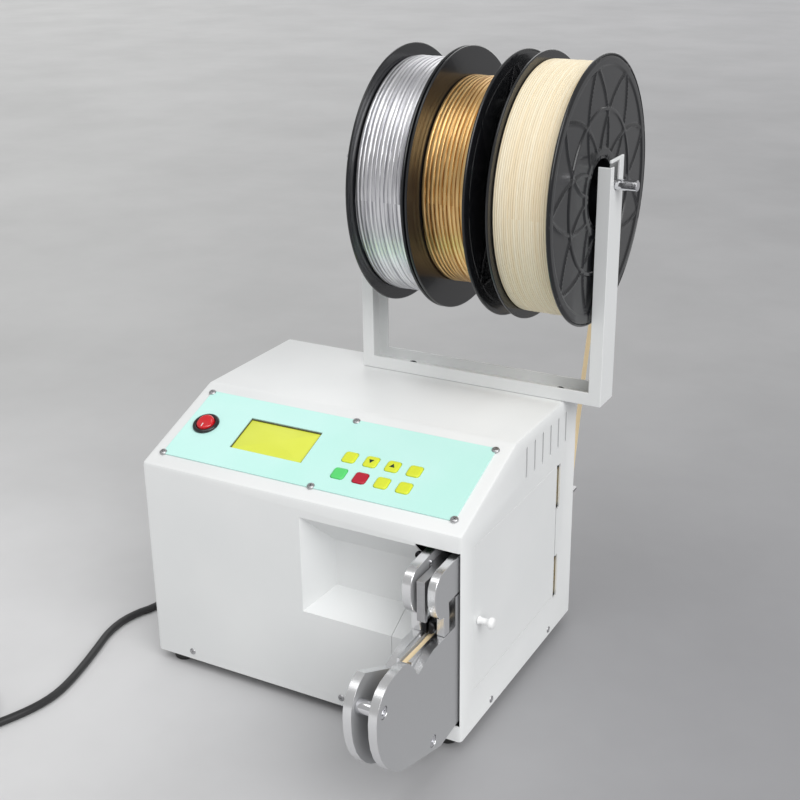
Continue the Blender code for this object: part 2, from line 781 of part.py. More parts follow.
def recess_block(name, outer_shift, finish=None):
    """The pocket's volume as a lofted block: a large mouth at the front, a small floor behind."""
    mouth_y = -OVERRUN if outer_shift == 0 else SHEET / 2
    slope_low = (RECESS_IN_LOW - RECESS_LOW) / RECESS_DEPTH
    slope_top = (RECESS_IN_TOP - RECESS_TOP) / RECESS_DEPTH
    slope_left = (RECESS_IN_LEFT - RECESS_LEFT) / RECESS_DEPTH
    floor_y = RECESS_DEPTH + outer_shift
    right = HEAD_LEFT + OVERRUN if outer_shift == 0 else HEAD_LEFT + GAP

    def section(y):
        left = RECESS_LEFT + slope_left * y - outer_shift
        low = RECESS_LOW + slope_low * y - outer_shift
        top = RECESS_TOP + slope_top * y + outer_shift
        return [(left, y, low), (right, y, low), (right, y, top), (left, y, top)]

    points = section(mouth_y) + section(floor_y)
    faces = [(0, 1, 2, 3), (7, 6, 5, 4)] + [(i, i + 4, (i + 1) % 4 + 4, (i + 1) % 4) for i in range(4)]
    mesh = bpy.data.meshes.new(name)
    mesh.from_pydata(points, [], faces)
    return keep(bpy.data.objects.new(name, mesh), finish, None)


def vent_outlines():
    firsts = [BODY_D - VENT_LAST_IN - VENT_PITCH * i for i in range(VENT_COUNT)]
    half = VENT_W / 2
    end_r = half * VENT_END_SHARE
    return [rounded_rectangle((y - half, VENT_LOW), (y + half, VENT_TOP), end_r, 1) for y in firsts]


def door_opening_outline():
    """The door's hole with a notch at its back edge for each hinge."""
    (low_a, low_b), (top_a, top_b) = HINGE_SPANS
    return [
        (DOOR_FRONT, DOOR_LOW),
        (DOOR_REAR - DOOR_SWING_GAP, DOOR_LOW),
        (DOOR_REAR - DOOR_SWING_GAP, low_a),
        (HINGE_SLOT_REAR, low_a),
        (HINGE_SLOT_REAR, low_b),
        (DOOR_REAR, low_b),
        (DOOR_REAR, top_a),
        (HINGE_SLOT_REAR, top_a),
        (HINGE_SLOT_REAR, top_b),
        (DOOR_REAR, top_b),
        (DOOR_REAR, DOOR_TOP),
        (DOOR_FRONT, DOOR_TOP),
    ]


def panel_holes(play):
    """Outlines of the display window, the key holes and the switch hole in the panel."""
    loops = [rectangle((LCD_LEFT - play, LCD_LOW - play), (LCD_RIGHT + play, LCD_TOP + play))]
    loops.append(circle((SWITCH_U, SWITCH_V), SWITCH_BARREL_R + play))
    half = KEY_SIZE / 2 + play
    for v in KEY_ROWS:
        for u in KEY_COLUMNS:
            loops.append(rounded_rectangle((u - half, v - half), (u + half, v + half), KEY_CORNER, 2))
    return loops


def make_main_cover():
    """A folded sheet hood with the recess, head opening, panel holes, vents and door opening."""
    half = BODY_W / 2
    cover = plate("main_cover", [body_outline(0)], -half, half, "X", "white_paint", solid=True)
    round_edges(cover, FOLD_R, least_angle=FOLD_LEAST_ANGLE)
    below = box("below_cut", (-BODY_W, -BODY_W, -BODY_H), (BODY_W, BODY_D + BODY_W, 0))
    behind = box("behind_cut", (-BODY_W, BODY_D, -BODY_H), (BODY_W, BODY_D + BODY_W, BODY_H + BODY_W))
    hollow = plate("hollow_cut", [body_outline(SHEET)], -SIDE_IN, SIDE_IN, "X")
    cut(cover, hollow)
    join(cover, recess_block("recess_walls", SHEET))
    cut(cover, recess_block("recess_cut", 0))
    head = [
        (THROAT_LEFT, HEAD_BOTTOM),
        (SIDE_IN, HEAD_BOTTOM),
        (SIDE_IN, HEAD_TOP),
        (HEAD_LEFT, HEAD_TOP),
        (HEAD_LEFT, RECESS_IN_LOW + OVERRUN),
        (THROAT_LEFT, RECESS_IN_LOW + OVERRUN),
    ]
    deep = RECESS_DEPTH + SHEET + OVERRUN
    cut(cover, plate("head_cut", [head], -OVERRUN, deep, "Y"))
    panel = plate("panel_cut", panel_holes(GAP), -SHEET - OVERRUN, OVERRUN, "Z", parent=PANEL)
    vents = plate("vent_cut", vent_outlines(), -half - OVERRUN, half + OVERRUN, "X")
    door = plate("door_cut", [door_opening_outline()], SIDE_IN - OVERRUN, half + OVERRUN, "X")
    return cut(cover, panel, vents, door, below, behind, solver="MANIFOLD")


def make_throat_plate():
    """The bent filler strip left of the arm: flush with the front, then into the recess."""
    slope = (RECESS_IN_LOW - RECESS_LOW) / RECESS_DEPTH
    end_z = RECESS_LOW + slope * RECESS_DEPTH
    outline = [
        (0, HEAD_BOTTOM + GAP),
        (0, RECESS_LOW),
        (RECESS_DEPTH, end_z),
        (RECESS_DEPTH, end_z - SHEET),
        (SHEET, RECESS_LOW + slope * SHEET - SHEET),
        (SHEET, HEAD_BOTTOM + GAP),
    ]
    return plate("throat_plate", [outline], THROAT_LEFT + GAP, THROAT_RIGHT, "X", "white_paint")


def make_base_pan():
    """A tray that closes the housing from below, with its lips inside the cover."""
    x = SIDE_IN - GAP
    low_y, high_y = SHEET + GAP, BODY_D
    pan = box("base_pan", (-x, low_y, 0), (x, high_y, PAN_LIP), "steel")
    inner = box("pan_cut", (-x + SHEET, low_y + SHEET, SHEET), (x - SHEET, high_y - SHEET, PAN_LIP + OVERRUN))
    return cut(pan, inner)


def make_rear_panel():
    """The back plate with holes for the mains gland and the tie ribbon."""
    x = SIDE_IN - GAP
    outline = rectangle((-x, PAN_LIP + GAP), (x, BODY_H - SHEET - GAP))
    gland_hole = circle((GLAND_X, GLAND_Z), GLAND_HOLE_R + GAP)
    half_w, half_h = TIE_W / 2 + TIE_RUN_CLEAR, TIE_RUN_CLEAR * 2
    low = (TIE_INLET_X - half_w, TIE_INLET_Z - half_h)
    slot = rectangle(low, (TIE_INLET_X + half_w, TIE_INLET_Z + half_h))
    return plate("rear_panel", [outline, gland_hole, slot], BODY_D - SHEET, BODY_D, "Y", "white_paint")


def make_feet():
    x = BODY_W / 2 - FOOT_INSET_X
    ys = {"front": FOOT_INSET_Y, "rear": BODY_D - FOOT_INSET_Y}
    profile = [(0, FOOT_H - GAP), (FOOT_R, FOOT_H - GAP), (FOOT_R - FOOT_TAPER, 0), (0, 0)]
    for end, y in ys.items():
        for side, sign in (("left", -1), ("right", 1)):
            turned(f"foot_{end}_{side}", profile, (sign * x, y, -FOOT_H), "Z", "rubber")


def make_fascia():
    """The printed panel plate over the slope, with its windows."""
    outline = rounded_rectangle((-FASCIA_HALF_W, FASCIA_LOW), (FASCIA_HALF_W, FASCIA_TOP), FASCIA_CORNER)
    plate("fascia_plate", [outline] + panel_holes(GAP), GAP, FASCIA_N, "Z", "fascia_film", PANEL)


def make_display():
    """The display module: a window block that comes up through the panel, on a wider body."""
    module = box(
        "display_module",
        (LCD_LEFT, LCD_LOW, -SHEET - GAP - LCD_BODY),
        (LCD_RIGHT, LCD_TOP, FASCIA_N - LCD_SINK),
        "display",
        PANEL,
    )
    body = box(
        "display_body",
        (LCD_LEFT - LCD_RIM, LCD_LOW - LCD_RIM, GAP - BOARD_DROP + BOARD_T),
        (LCD_RIGHT + LCD_RIM, LCD_TOP + LCD_RIM, -SHEET - GAP),
        parent=PANEL,
    )
    return join(module, body)


def make_board():
    """The control board under the panel, with four posts and a switch under each key."""
    low_u, high_u = LCD_LEFT - BOARD_MARGIN, KEY_COLUMNS[-1] + KEY_SIZE + BOARD_MARGIN
    low_v, high_v = KEY_ROWS[1] - KEY_SIZE, LCD_TOP + BOARD_MARGIN
    top = -BOARD_DROP + BOARD_T
    board = box("control_board", (low_u, low_v, -BOARD_DROP), (high_u, high_v, top), "board_green", PANEL)
    reach = -SHEET - GAP - top
    for i, u in enumerate((low_u + POST_R, high_u - POST_R)):
        for j, v in enumerate((low_v + POST_R, high_v - POST_R)):
            place = (u, v, top - BOARD_T / 2)
            post = rod(f"post_{i}{j}", place, "Z", reach + BOARD_T / 2, POST_R, None, PANEL, POST_STEPS)
            join(board, post)
    key_bottom = FASCIA_N + KEY_PROUD - KEY_DEPTH
    rise = key_bottom - KEY_TRAVEL - GAP - top
    for i, v in enumerate(KEY_ROWS):
        for j, u in enumerate(KEY_COLUMNS):
            name = f"key_switch_{i}{j}"
            low = top - BOARD_T / 2
            post = rod(name, (u, v, low), "Z", rise + BOARD_T / 2, SWITCH_POST_R, None, PANEL, POST_STEPS)
            join(board, post)
    return board


def make_keys():
    """Eight square keys in two rows, each on its own slide."""
    finishes = (("key_yellow",) * 4, ("key_green", "key_red", "key_yellow", "key_yellow"))
    half = KEY_SIZE / 2
    top = FASCIA_N + KEY_PROUD
    for row, v in enumerate(KEY_ROWS):
        for column, u in enumerate(KEY_COLUMNS):
            name = f"key_{row + 1}_{column + 1}"
            outline = rounded_rectangle((u - half, v - half), (u + half, v + half), KEY_CORNER, 2)
            key = plate(name, [outline], top - KEY_DEPTH, top, "Z", finishes[row][column], PANEL)
            hang(key, new_empty(f"{name}_slide", (u, v, top), PANEL))


def make_switch():
    """A round housing with a pocket, and the rocker that tilts in it."""
    face = FASCIA_N + GAP + BEZEL_H
    profile = [
        (0, -ROCKER_POCKET_DEPTH),
        (ROCKER_POCKET_R, -ROCKER_POCKET_DEPTH),
        (ROCKER_POCKET_R, face),
        (BEZEL_R - BEZEL_H / 2, face),
        (BEZEL_R, face - BEZEL_H / 2),
        (BEZEL_R, FASCIA_N + GAP),
        (SWITCH_BARREL_R, FASCIA_N + GAP),
        (SWITCH_BARREL_R, -SWITCH_DEPTH),
        (0, -SWITCH_DEPTH),
    ]
    turned("switch_housing", profile, (SWITCH_U, SWITCH_V, 0), "Z", "black_gloss", PANEL)
    low = -ROCKER_T / 2
    half = ROCKER_T / 2
    rocker = turned(
        "power_rocker",
        [(0, half), (ROCKER_R - half / 2, half), (ROCKER_R, half / 2), (ROCKER_R, low), (0, low)],
        (0, 0, 0),
        "Z",
        "red_gloss",
        PANEL,
    )
    pivot = new_empty("rocker_pivot", (SWITCH_U, SWITCH_V, ROCKER_PIVOT_N), PANEL)
    rocker.parent = pivot
    rocker.rotation_quaternion = Quaternion((1, 0, 0), ROCKER_TILT)
    return rocker


def make_door():
    """The side door with its two leaves, its knob, and the fixed hinge barrels."""
    half = BODY_W / 2
    rear = DOOR_REAR - DOOR_SWING_GAP
    pivot = new_empty("door_axis", (HINGE_X, HINGE_Y, DOOR_LOW), DATUM_EMPTY)
    outline = rectangle((DOOR_FRONT + GAP, DOOR_LOW + GAP), (rear, DOOR_TOP - GAP))
    door = plate("side_door", [outline], SIDE_IN, half, "X", "white_paint", solid=True)
    for index, (low, top) in enumerate(HINGE_SPANS):
        low, top = low + HINGE_END, top - HINGE_END
        name = ("hinge_lower", "hinge_upper")[index]
        leaf_low = (SIDE_IN - LEAF_T, HINGE_Y - HINGE_R - LEAF_L, low)
        leaf_high = (SIDE_IN + LEAF_WELD, HINGE_Y - HINGE_R - GAP, top)
        join(door, box(f"{name}_leaf", leaf_low, leaf_high))
        barrel = rod(name, (HINGE_X, HINGE_Y, low), "Z", top - low, HINGE_R, "brass", None, HINGE_STEPS)
        fixed = box(f"{name}_plate", (HINGE_X, HINGE_Y, low), (SIDE_IN - GAP, HINGE_SLOT_REAR + LEAF_L, top))
        join(barrel, fixed)
    hang(door, pivot)
    knob = turned(
        "door_knob",
        [
            (0, KNOB_L),
            (KNOB_R * KNOB_FACE_SHARE, KNOB_L),
            (KNOB_R, KNOB_L - KNOB_R * (1 - KNOB_FACE_SHARE)),
            (KNOB_R, KNOB_L - KNOB_HEAD_L),
            (KNOB_NECK_R, KNOB_L - KNOB_HEAD_L),
            (KNOB_NECK_R, 0),
            (0, 0),
        ],
        (half + GAP, KNOB_Y, KNOB_Z),
        "X",
        "white_paint",
    )
    hang(knob, pivot)


def arm_outline(right):
    """One arm plate seen from the side, in y and z: sole, round belly, nose, notch, ramp and
    ledge. The right plate also has a bump before the notch and an upright behind the jaws."""
    rear = FRAME_FRONT - GAP
    points = [(rear, ARM_HEEL_Z), (0, ARM_HEEL_Z), (ARM_SOLE_Y, ARM_SOLE_Z)]
    points += arc((ARM_BELLY_Y, ARM_BELLY_Z), ARM_BELLY_R, 256, 186, 7)
    if not right:
        points += arc((ARM_NOSE_Y, ARM_NOSE_Z), ARM_NOSE_R, 180, 100, 5)
        return points + [(ARM_NOTCH_Y, ARM_NOTCH_Z), (RAMP_REAR_Y, LEDGE_Z), (rear, LEDGE_Z)]
    points += arc((ARM_NOSE_Y, ARM_NOSE_Z), ARM_NOSE_R, 180, 92, 5)
    points += [(ARM_BUMP_Y, ARM_BUMP_Z)]
    drop = ARM_BUMP_Z - ARM_NOTCH_Z
    run = ARM_NOTCH_Y - ARM_BUMP_Y
    points += [(ARM_BUMP_Y + run * share, ARM_BUMP_Z - drop * share**2) for share in ARM_BUMP_SHARES]
    points += [(ARM_NOTCH_Y, ARM_NOTCH_Z), (RAMP_REAR_Y, LEDGE_Z)]
    points += [
        (UPRIGHT_FRONT, LEDGE_Z),
        (UPRIGHT_FRONT, UPRIGHT_TOP),
        (UPRIGHT_REAR, UPRIGHT_TOP),
        (UPRIGHT_REAR, LEDGE_Z),
        (rear, LEDGE_Z),
    ]
    return points


def make_arm():
    """The fixed lower arm: two plates, two spacer rods and the guide block between them."""
    places = ((ROD_Y, ROD_Z), (LOWER_ROD_Y, LOWER_ROD_Z))
    holes = [circle(place, ROD_R + GAP, SMALL_STEPS) for place in places]
    seats = [circle(place, ROD_SEAT_R, SMALL_STEPS) for place in places]
    loops_left, loops_right = [arm_outline(False)] + holes, [arm_outline(True)] + holes
    arm_left = plate("lower_arm_left", loops_left, *ARM_LEFT, "X", "aluminium", solid=True)
    arm_right = plate("lower_arm_right", loops_right, *ARM_RIGHT, "X", "aluminium", solid=True)
    left, right = ARM_LEFT[0], ARM_RIGHT[1]
    cut(arm_left, plate("left_seats", seats, left - OVERRUN, left + ROD_SEAT_D, "X"))
    cut(arm_right, plate("right_seats", seats, right - ROD_SEAT_D, right + OVERRUN, "X"))
    length = right - left - 2 * GAP
    middle = (ARM_RIGHT[0] - ARM_LEFT[1]) / 2 - GAP
    for name, y, z in (("arm_rod_front", ROD_Y, ROD_Z), ("arm_rod_lower", LOWER_ROD_Y, LOWER_ROD_Z)):
        profile = [
            (0, length),
            (ROD_HEAD_R, length),
            (ROD_HEAD_R, length - ROD_HEAD_T),
            (ROD_R, length - ROD_HEAD_T),
            (ROD_R, length / 2 + middle),
            (ROD_MIDDLE_R, length / 2 + middle),
            (ROD_MIDDLE_R, length / 2 - middle),
            (ROD_R, length / 2 - middle),
            (ROD_R, ROD_HEAD_T),
            (ROD_HEAD_R, ROD_HEAD_T),
            (ROD_HEAD_R, 0),
            (0, 0),
        ]
        turned(name, profile, (left + GAP, y, z), "X", "chrome", steps=SMALL_STEPS)
    low_x, high_x = ARM_LEFT[1] + GAP, ARM_RIGHT[0] - GAP
    side = [
        (FRAME_FRONT - GAP, CHANNEL_LOW),
        (CHANNEL_FRONT + CHANNEL_H, CHANNEL_LOW),
    ]
    nose_y, nose_z = CHANNEL_FRONT + CHANNEL_NOSE_R, GROOVE_FLOOR - CHANNEL_NOSE_R
    side += arc((nose_y, nose_z), CHANNEL_NOSE_R, 180, 90, 4)
    side += [(nose_y, CHANNEL_TOP), (FRAME_FRONT - GAP, CHANNEL_TOP)]
    channel = plate("ribbon_channel", [side], low_x, high_x, "X", "aluminium", solid=True)
    half = GROOVE_W / 2
    groove = box(
        "groove_cut",
        (SPINDLE_X - half, CHANNEL_FRONT - OVERRUN, GROOVE_FLOOR),
        (SPINDLE_X + half, FRAME_FRONT + OVERRUN, CHANNEL_TOP + OVERRUN),
    )
    cut(channel, groove)


def make_jaws():
    """Two jaw plates with their fingers, on one sliding body."""
    outline = [
        (JAW_REAR, JAW_BOTTOM),
        (JAW_REAR, JAW_TOP),
        (0, JAW_TOP),
        (JAW_SHOULDER_Y, JAW_SHOULDER_Z),
    ]
    corner = JAW_SHOULDER_Y - JAW_NOSE_Y
    outline += arc((JAW_SHOULDER_Y, JAW_SHOULDER_Z - corner), corner, 110, 180, 4)
    outline += [(JAW_NOSE_Y, JAW_NOSE_LOW)]
    for angle in JAW_CHIN_ANGLES:
        a = math.radians(angle)
        y = FINGER_FRONT + (JAW_NOSE_Y - FINGER_FRONT) * math.cos(a)
        outline.append((y, JAW_NOSE_LOW + (JAW_CHIN_Z - JAW_NOSE_LOW) * math.sin(a)))
    outline += [
        (FINGER_FRONT, JAW_CHIN_Z),
        (FINGER_FRONT, LEDGE_Z + GAP),
        (FINGER_REAR, LEDGE_Z + GAP),
        (FINGER_REAR, JAW_CHIN_Z),
        (JAW_NOTCH_Y, JAW_BOTTOM),
    ]
    hang(plate("jaw_left", [outline], *JAW_LEFT, "X", "aluminium"), JAW_EMPTY)
    hang(plate("jaw_right", [outline], *JAW_RIGHT, "X", "aluminium"), JAW_EMPTY)


def make_jaw_slide():
    """The bar between the jaws: rack teeth under its middle, and a finger over the throat."""
    pitch = math.pi * RACK_MODULE
    tip = BAR_LOW
    root = BAR_LOW + (ADDENDUM_SHARE + DEDENDUM_SHARE) * RACK_MODULE
    lean = math.tan(PRESSURE_ANGLE)
    outline = [(BAR_REAR, BAR_LOW), (BAR_REAR, BAR_TOP), (BAR_FRONT, BAR_TOP), (BAR_FRONT, BAR_LOW)]
    half_at_pitch = pitch / 4 - BACKLASH / 2
    half_tip = half_at_pitch - lean * (RACK_PITCH_Z - tip)
    half_root = half_at_pitch + lean * (root - RACK_PITCH_Z)
    for tooth in range(RACK_TEETH):
        middle = PINION_Y + pitch * (tooth - RACK_AHEAD_TEETH)
        outline += [(middle - half_root, root), (middle - half_tip, tip), (middle + half_tip, tip)]
        outline += [(middle + half_root, root)]
    low_x, high_x = JAW_LEFT[1] + GAP, JAW_RIGHT[0] - GAP
    bar = plate("jaw_slide", [outline], low_x, high_x, "X", "steel", solid=True)
    half = BAR_FINGER_W / 2
    end_r = BAR_FINGER_T / 2
    finger = [(BAR_FRONT + OVERRUN, BAR_TOP), (BAR_FINGER_FRONT, BAR_TOP)]
    finger += arc((BAR_FINGER_FRONT + end_r, BAR_FINGER_LOW + end_r), end_r, 180, 360, 6)
    finger += [(BAR_FINGER_FRONT + BAR_FINGER_T, BAR_LOW + OVERRUN), (BAR_FRONT + OVERRUN, BAR_LOW + OVERRUN)]
    join(bar, plate("slide_finger", [finger], SPINDLE_X - half, SPINDLE_X + half, "X"))
    hang(bar, JAW_EMPTY)


def make_jaw_pinion():
    """The pinion under the rack, on a shaft that comes through the frame's cheek."""
    low_x = SPINDLE_X - GEAR_W / 2
    outline = gear_outline((PINION_Y, PINION_Z), RACK_MODULE, PINION_TEETH, math.pi / 2)
    pinion = plate("jaw_pinion", [outline], low_x, low_x + GEAR_W, "X", "brass", solid=True)
    start = FRAME_CHEEK_X
    shaft_l = low_x + GEAR_W + SHAFT_R - start
    join(pinion, rod("pinion_shaft", (start, PINION_Y, PINION_Z), "X", shaft_l, SHAFT_R))
    hang(pinion, new_empty("pinion_axis", (low_x, PINION_Y, PINION_Z), DATUM_EMPTY))


def make_twist_drive():
    """The twist spindle with its slotted head and gear, and the motor's gear that drives it."""
    front = SPINDLE_HEAD_FRONT
    neck = SPINDLE_HEAD_L
    profile = [
        (0, SPINDLE_REAR - front),
        (SPINDLE_R, SPINDLE_REAR - front),
        (SPINDLE_R, neck),
        (SPINDLE_HEAD_R, neck),
        (SPINDLE_HEAD_R, SPINDLE_R / 4),
        (SPINDLE_HEAD_R - SPINDLE_R / 4, 0),
        (0, 0),
    ]
    spindle = turned("twist_spindle", profile, (SPINDLE_X, front, SPINDLE_Z), "Y", "steel")
    outline = gear_outline((SPINDLE_X, SPINDLE_Z), TWIST_MODULE, SPINDLE_TEETH, -math.pi / 2)
    join(spindle, plate("spindle_gear", [outline], TWIST_GEAR_Y, TWIST_GEAR_Y + TWIST_GEAR_W, "Y"))
    half = HOOK_SLOT_W / 2
    slot = box(
        "hook_cut",
        (SPINDLE_X - half, front - OVERRUN, SPINDLE_Z - SPINDLE_HEAD_R - OVERRUN),
        (SPINDLE_X + half, front + HOOK_SLOT_D, SPINDLE_Z + SPINDLE_HEAD_R + OVERRUN),
    )
    cut(spindle, slot)
    hang(spindle, new_empty("spindle_axis", (SPINDLE_X, front, SPINDLE_Z), DATUM_EMPTY))
    first = math.pi / 2 + math.pi / DRIVE_TEETH
    outline = gear_outline((SPINDLE_X, DRIVE_Z), TWIST_MODULE, DRIVE_TEETH, first)
    drive = plate(
        "twist_drive_gear", [outline], TWIST_GEAR_Y, TWIST_GEAR_Y + TWIST_GEAR_W, "Y", "brass", solid=True
    )
    shaft_rear = FRAME_REAR
    start = TWIST_GEAR_Y + TWIST_GEAR_W / 2
    join(drive, rod("drive_shaft", (SPINDLE_X, start, DRIVE_Z), "Y", shaft_rear - start, SHAFT_R))
    hang(drive, new_empty("drive_axis", (SPINDLE_X, TWIST_GEAR_Y, DRIVE_Z), DATUM_EMPTY))


def make_frame():
    """The folded channel that carries the arm, the slide, the spindle and the motors."""
    plan = [
        (FRAME_CHEEK_X, FRAME_FRONT),
        (FRAME_RIGHT, FRAME_FRONT),
        (FRAME_RIGHT, FRAME_FRONT + FRAME_WALL),
        (FRAME_CHEEK_X + FRAME_CHEEK_T, FRAME_FRONT + FRAME_WALL),
        (FRAME_CHEEK_X + FRAME_CHEEK_T, FRAME_REAR - FRAME_WALL),
        (FRAME_RIGHT, FRAME_REAR - FRAME_WALL),
        (FRAME_RIGHT, FRAME_REAR),
        (FRAME_CHEEK_X, FRAME_REAR),
    ]
    frame = plate("mechanism_frame", [plan], SHEET + GAP, FRAME_TOP, "Z", "steel", solid=True)
    bar_low = (JAW_LEFT[1], BAR_LOW - GAP)
    bar_high = (JAW_RIGHT[0], BAR_TOP + GAP)
    half_w = TIE_W / 2 + TIE_RUN_CLEAR
    ribbon_low = (TIE_HEAD_X - half_w, RIBBON_RUN_Z - TIE_RUN_CLEAR)
    ribbon_high = (TIE_HEAD_X + half_w, RIBBON_RUN_Z + TIE_RUN_CLEAR)
    both = [
        rectangle(bar_low, bar_high),
        circle((SPINDLE_X, SPINDLE_Z), SPINDLE_R + GAP),
        rectangle(ribbon_low, ribbon_high),
    ]
    cut(frame, plate("frame_cut", both, FRAME_FRONT - OVERRUN, FRAME_REAR + OVERRUN, "Y"))
    shaft = circle((SPINDLE_X, DRIVE_Z), SHAFT_R + GAP)
    cut(frame, plate("drive_cut", [shaft], FRAME_REAR - FRAME_WALL - OVERRUN, FRAME_REAR + OVERRUN, "Y"))
    cheek = [
        circle((PINION_Y, PINION_Z), SHAFT_R + GAP),
        circle((PINION_Y, FEED_Z), SHAFT_R + GAP),
        circle((PINCH_PIVOT_Y, PINCH_PIVOT_Z), PINCH_PIN_R + GAP),
    ]
    cheek_high = FRAME_CHEEK_X + FRAME_CHEEK_T + OVERRUN
    cut(frame, plate("cheek_cut", cheek, FRAME_CHEEK_X - OVERRUN, cheek_high, "X"))


def make_feed():
    """The driven feed roller, and the pinch roller on its sprung lever."""
    low_x = SPINDLE_X - ROLLER_W / 2
    feed = rod("feed_roller", (low_x, PINION_Y, FEED_Z), "X", ROLLER_W, FEED_R, "rubber")
    start = FRAME_CHEEK_X
    join(feed, rod("feed_shaft", (start, PINION_Y, FEED_Z), "X", low_x + SHAFT_R - start, SHAFT_R))
    feed.parent = new_empty("feed_axis", (low_x, PINION_Y, FEED_Z), DATUM_EMPTY)
    feed.location = (0, 0, 0)
    lever_x = low_x - GAP - PINCH_LEVER_T
    half = PINCH_LEVER_W / 2
    dy, dz = PINCH_PIVOT_Y - PINION_Y, PINCH_PIVOT_Z - PINCH_Z
    lean = math.degrees(math.atan2(dz, dy))
    outline = arc((PINION_Y, PINCH_Z), half, lean + 90, lean + 270, 6)
    outline += arc((PINCH_PIVOT_Y, PINCH_PIVOT_Z), half, lean - 90, lean + 90, 6)
    lever = plate("pinch_lever", [outline], lever_x, lever_x + PINCH_LEVER_T, "X", "steel", solid=True)
    pin_l = lever_x + half - start
    join(lever, rod("lever_pin", (start, PINCH_PIVOT_Y, PINCH_PIVOT_Z), "X", pin_l, PINCH_PIN_R))
    axle_start = lever_x + PINCH_LEVER_T / 2
    axle_l = ROLLER_W + PINCH_LEVER_T / 2 + GAP
    join(lever, rod("pinch_axle", (axle_start, PINION_Y, PINCH_Z), "X", axle_l, PINCH_PIN_R))
    pivot = new_empty("lever_axis", (lever_x, PINCH_PIVOT_Y, PINCH_PIVOT_Z), DATUM_EMPTY)
    hang(lever, pivot)
    profile = [
        (PINCH_PIN_R + GAP, ROLLER_W),
        (PINCH_R, ROLLER_W),
        (PINCH_R, 0),
        (PINCH_PIN_R + GAP, 0),
    ]
    roller = turned("pinch_roller", profile, (0, 0, 0), "X", "chrome", ring=True)
    roller.parent = new_empty("pinch_axis", (low_x, PINION_Y, PINCH_Z), DATUM_EMPTY)


def motor(name, start, axis, direction, radius, length):
    """A round motor with a stepped end cap, its mounting face at start."""
    cap = radius * MOTOR_CAP_SHARE
    if direction > 0:
        profile = [(0, length), (cap, length), (cap, length - MOTOR_CAP_L), (radius, length - MOTOR_CAP_L)]
        profile += [(radius, 0), (0, 0)]
    else:
        profile = [(0, 0), (radius, 0), (radius, MOTOR_CAP_L - length), (cap, MOTOR_CAP_L - length)]
        profile += [(cap, -length), (0, -length)]
    return turned(name, profile, start, axis, "motor_black")


def make_motors():
    face = FRAME_CHEEK_X - GAP
    motor("jaw_motor", (face, PINION_Y, PINION_Z), "X", -1, JAW_MOTOR_R, JAW_MOTOR_L)
    motor("feed_motor", (face, PINION_Y, FEED_Z), "X", -1, FEED_MOTOR_R, FEED_MOTOR_L)
    motor("twist_motor", (SPINDLE_X, FRAME_REAR + GAP, DRIVE_Z), "Y", 1, TWIST_MOTOR_R, TWIST_MOTOR_L)


def make_power_supply():
    low_z = SHEET + GAP
    high = (SUPPLY_X[1], SUPPLY_Y[1], low_z + SUPPLY_H)
    supply = box("power_supply", (SUPPLY_X[0], SUPPLY_Y[0], low_z), high, "steel")
    round_edges(supply, SHEET, 1)


def bracket_faces(inset):
    """Left, right and bottom of the spool bracket's U, moved in from its outer faces by inset."""
    return BRACKET_LEFT + inset, BRACKET_RIGHT - inset, BODY_H + GAP + inset


def make_bracket():
    """An open channel bent into a U: floor and webs outside, lips turned inwards. Each web ends in
    a hook over the shaft's slot, open to the front above the lips."""
    top = BODY_H + BRACKET_H
    left, right, low = bracket_faces(0)
    in_left, in_right, in_low = bracket_faces(BRACKET_LIP)
    shape = [
        (left, low),
        (right, low),
        (right, top),
        (in_right, top),
        (in_right, in_low),
        (in_left, in_low),
        (in_left, top),
        (left, top),
    ]
    back = BRACKET_FRONT + BRACKET_D
    bracket = plate("spool_bracket", [shape], BRACKET_FRONT, back, "Y", "white_paint", solid=True)
    web_left, web_right, web_low = bracket_faces(BRACKET_T)
    hollow = box(
        "channel_cut",
        (web_left, BRACKET_FRONT + BRACKET_T, web_low),
        (web_right, back - BRACKET_T, top + OVERRUN),
    )
    lip_top = BODY_H + LIP_H
    lips = box(
        "lip_cut",
        (web_left, BRACKET_FRONT - OVERRUN, lip_top),
        (web_right, back + OVERRUN, top + OVERRUN),
    )
    half = SPOOL_SHAFT_R + SHAFT_SLOT_PLAY
    seat = arc((SHAFT_Y, SHAFT_Z + SHAFT_SLOT_PLAY - GAP), half, 180, 360, 8)
    bar_low = top - HOOK_BAR
    slot = seat + [
        (SHAFT_Y + half, bar_low),
        (BRACKET_FRONT - OVERRUN, bar_low),
        (BRACKET_FRONT - OVERRUN, lip_top),
        (SHAFT_Y - half, lip_top),
    ]
    cut(bracket, hollow, lips, plate("slot_cut", [slot], left - OVERRUN, right + OVERRUN, "X"))


def make_shaft():
    """The lift-out spool shaft, chamfered at both ends."""
    length = SHAFT_RIGHT - SHAFT_LEFT
    r, c = SPOOL_SHAFT_R, SHAFT_CHAMFER
    profile = [(0, length), (r - c, length), (r, length - c), (r, c), (r - c, 0), (0, 0)]
    shaft = turned("spool_shaft", profile, (SHAFT_LEFT, SHAFT_Y, SHAFT_Z), "X", "chrome")
    hang(shaft, SHAFT_EMPTY)


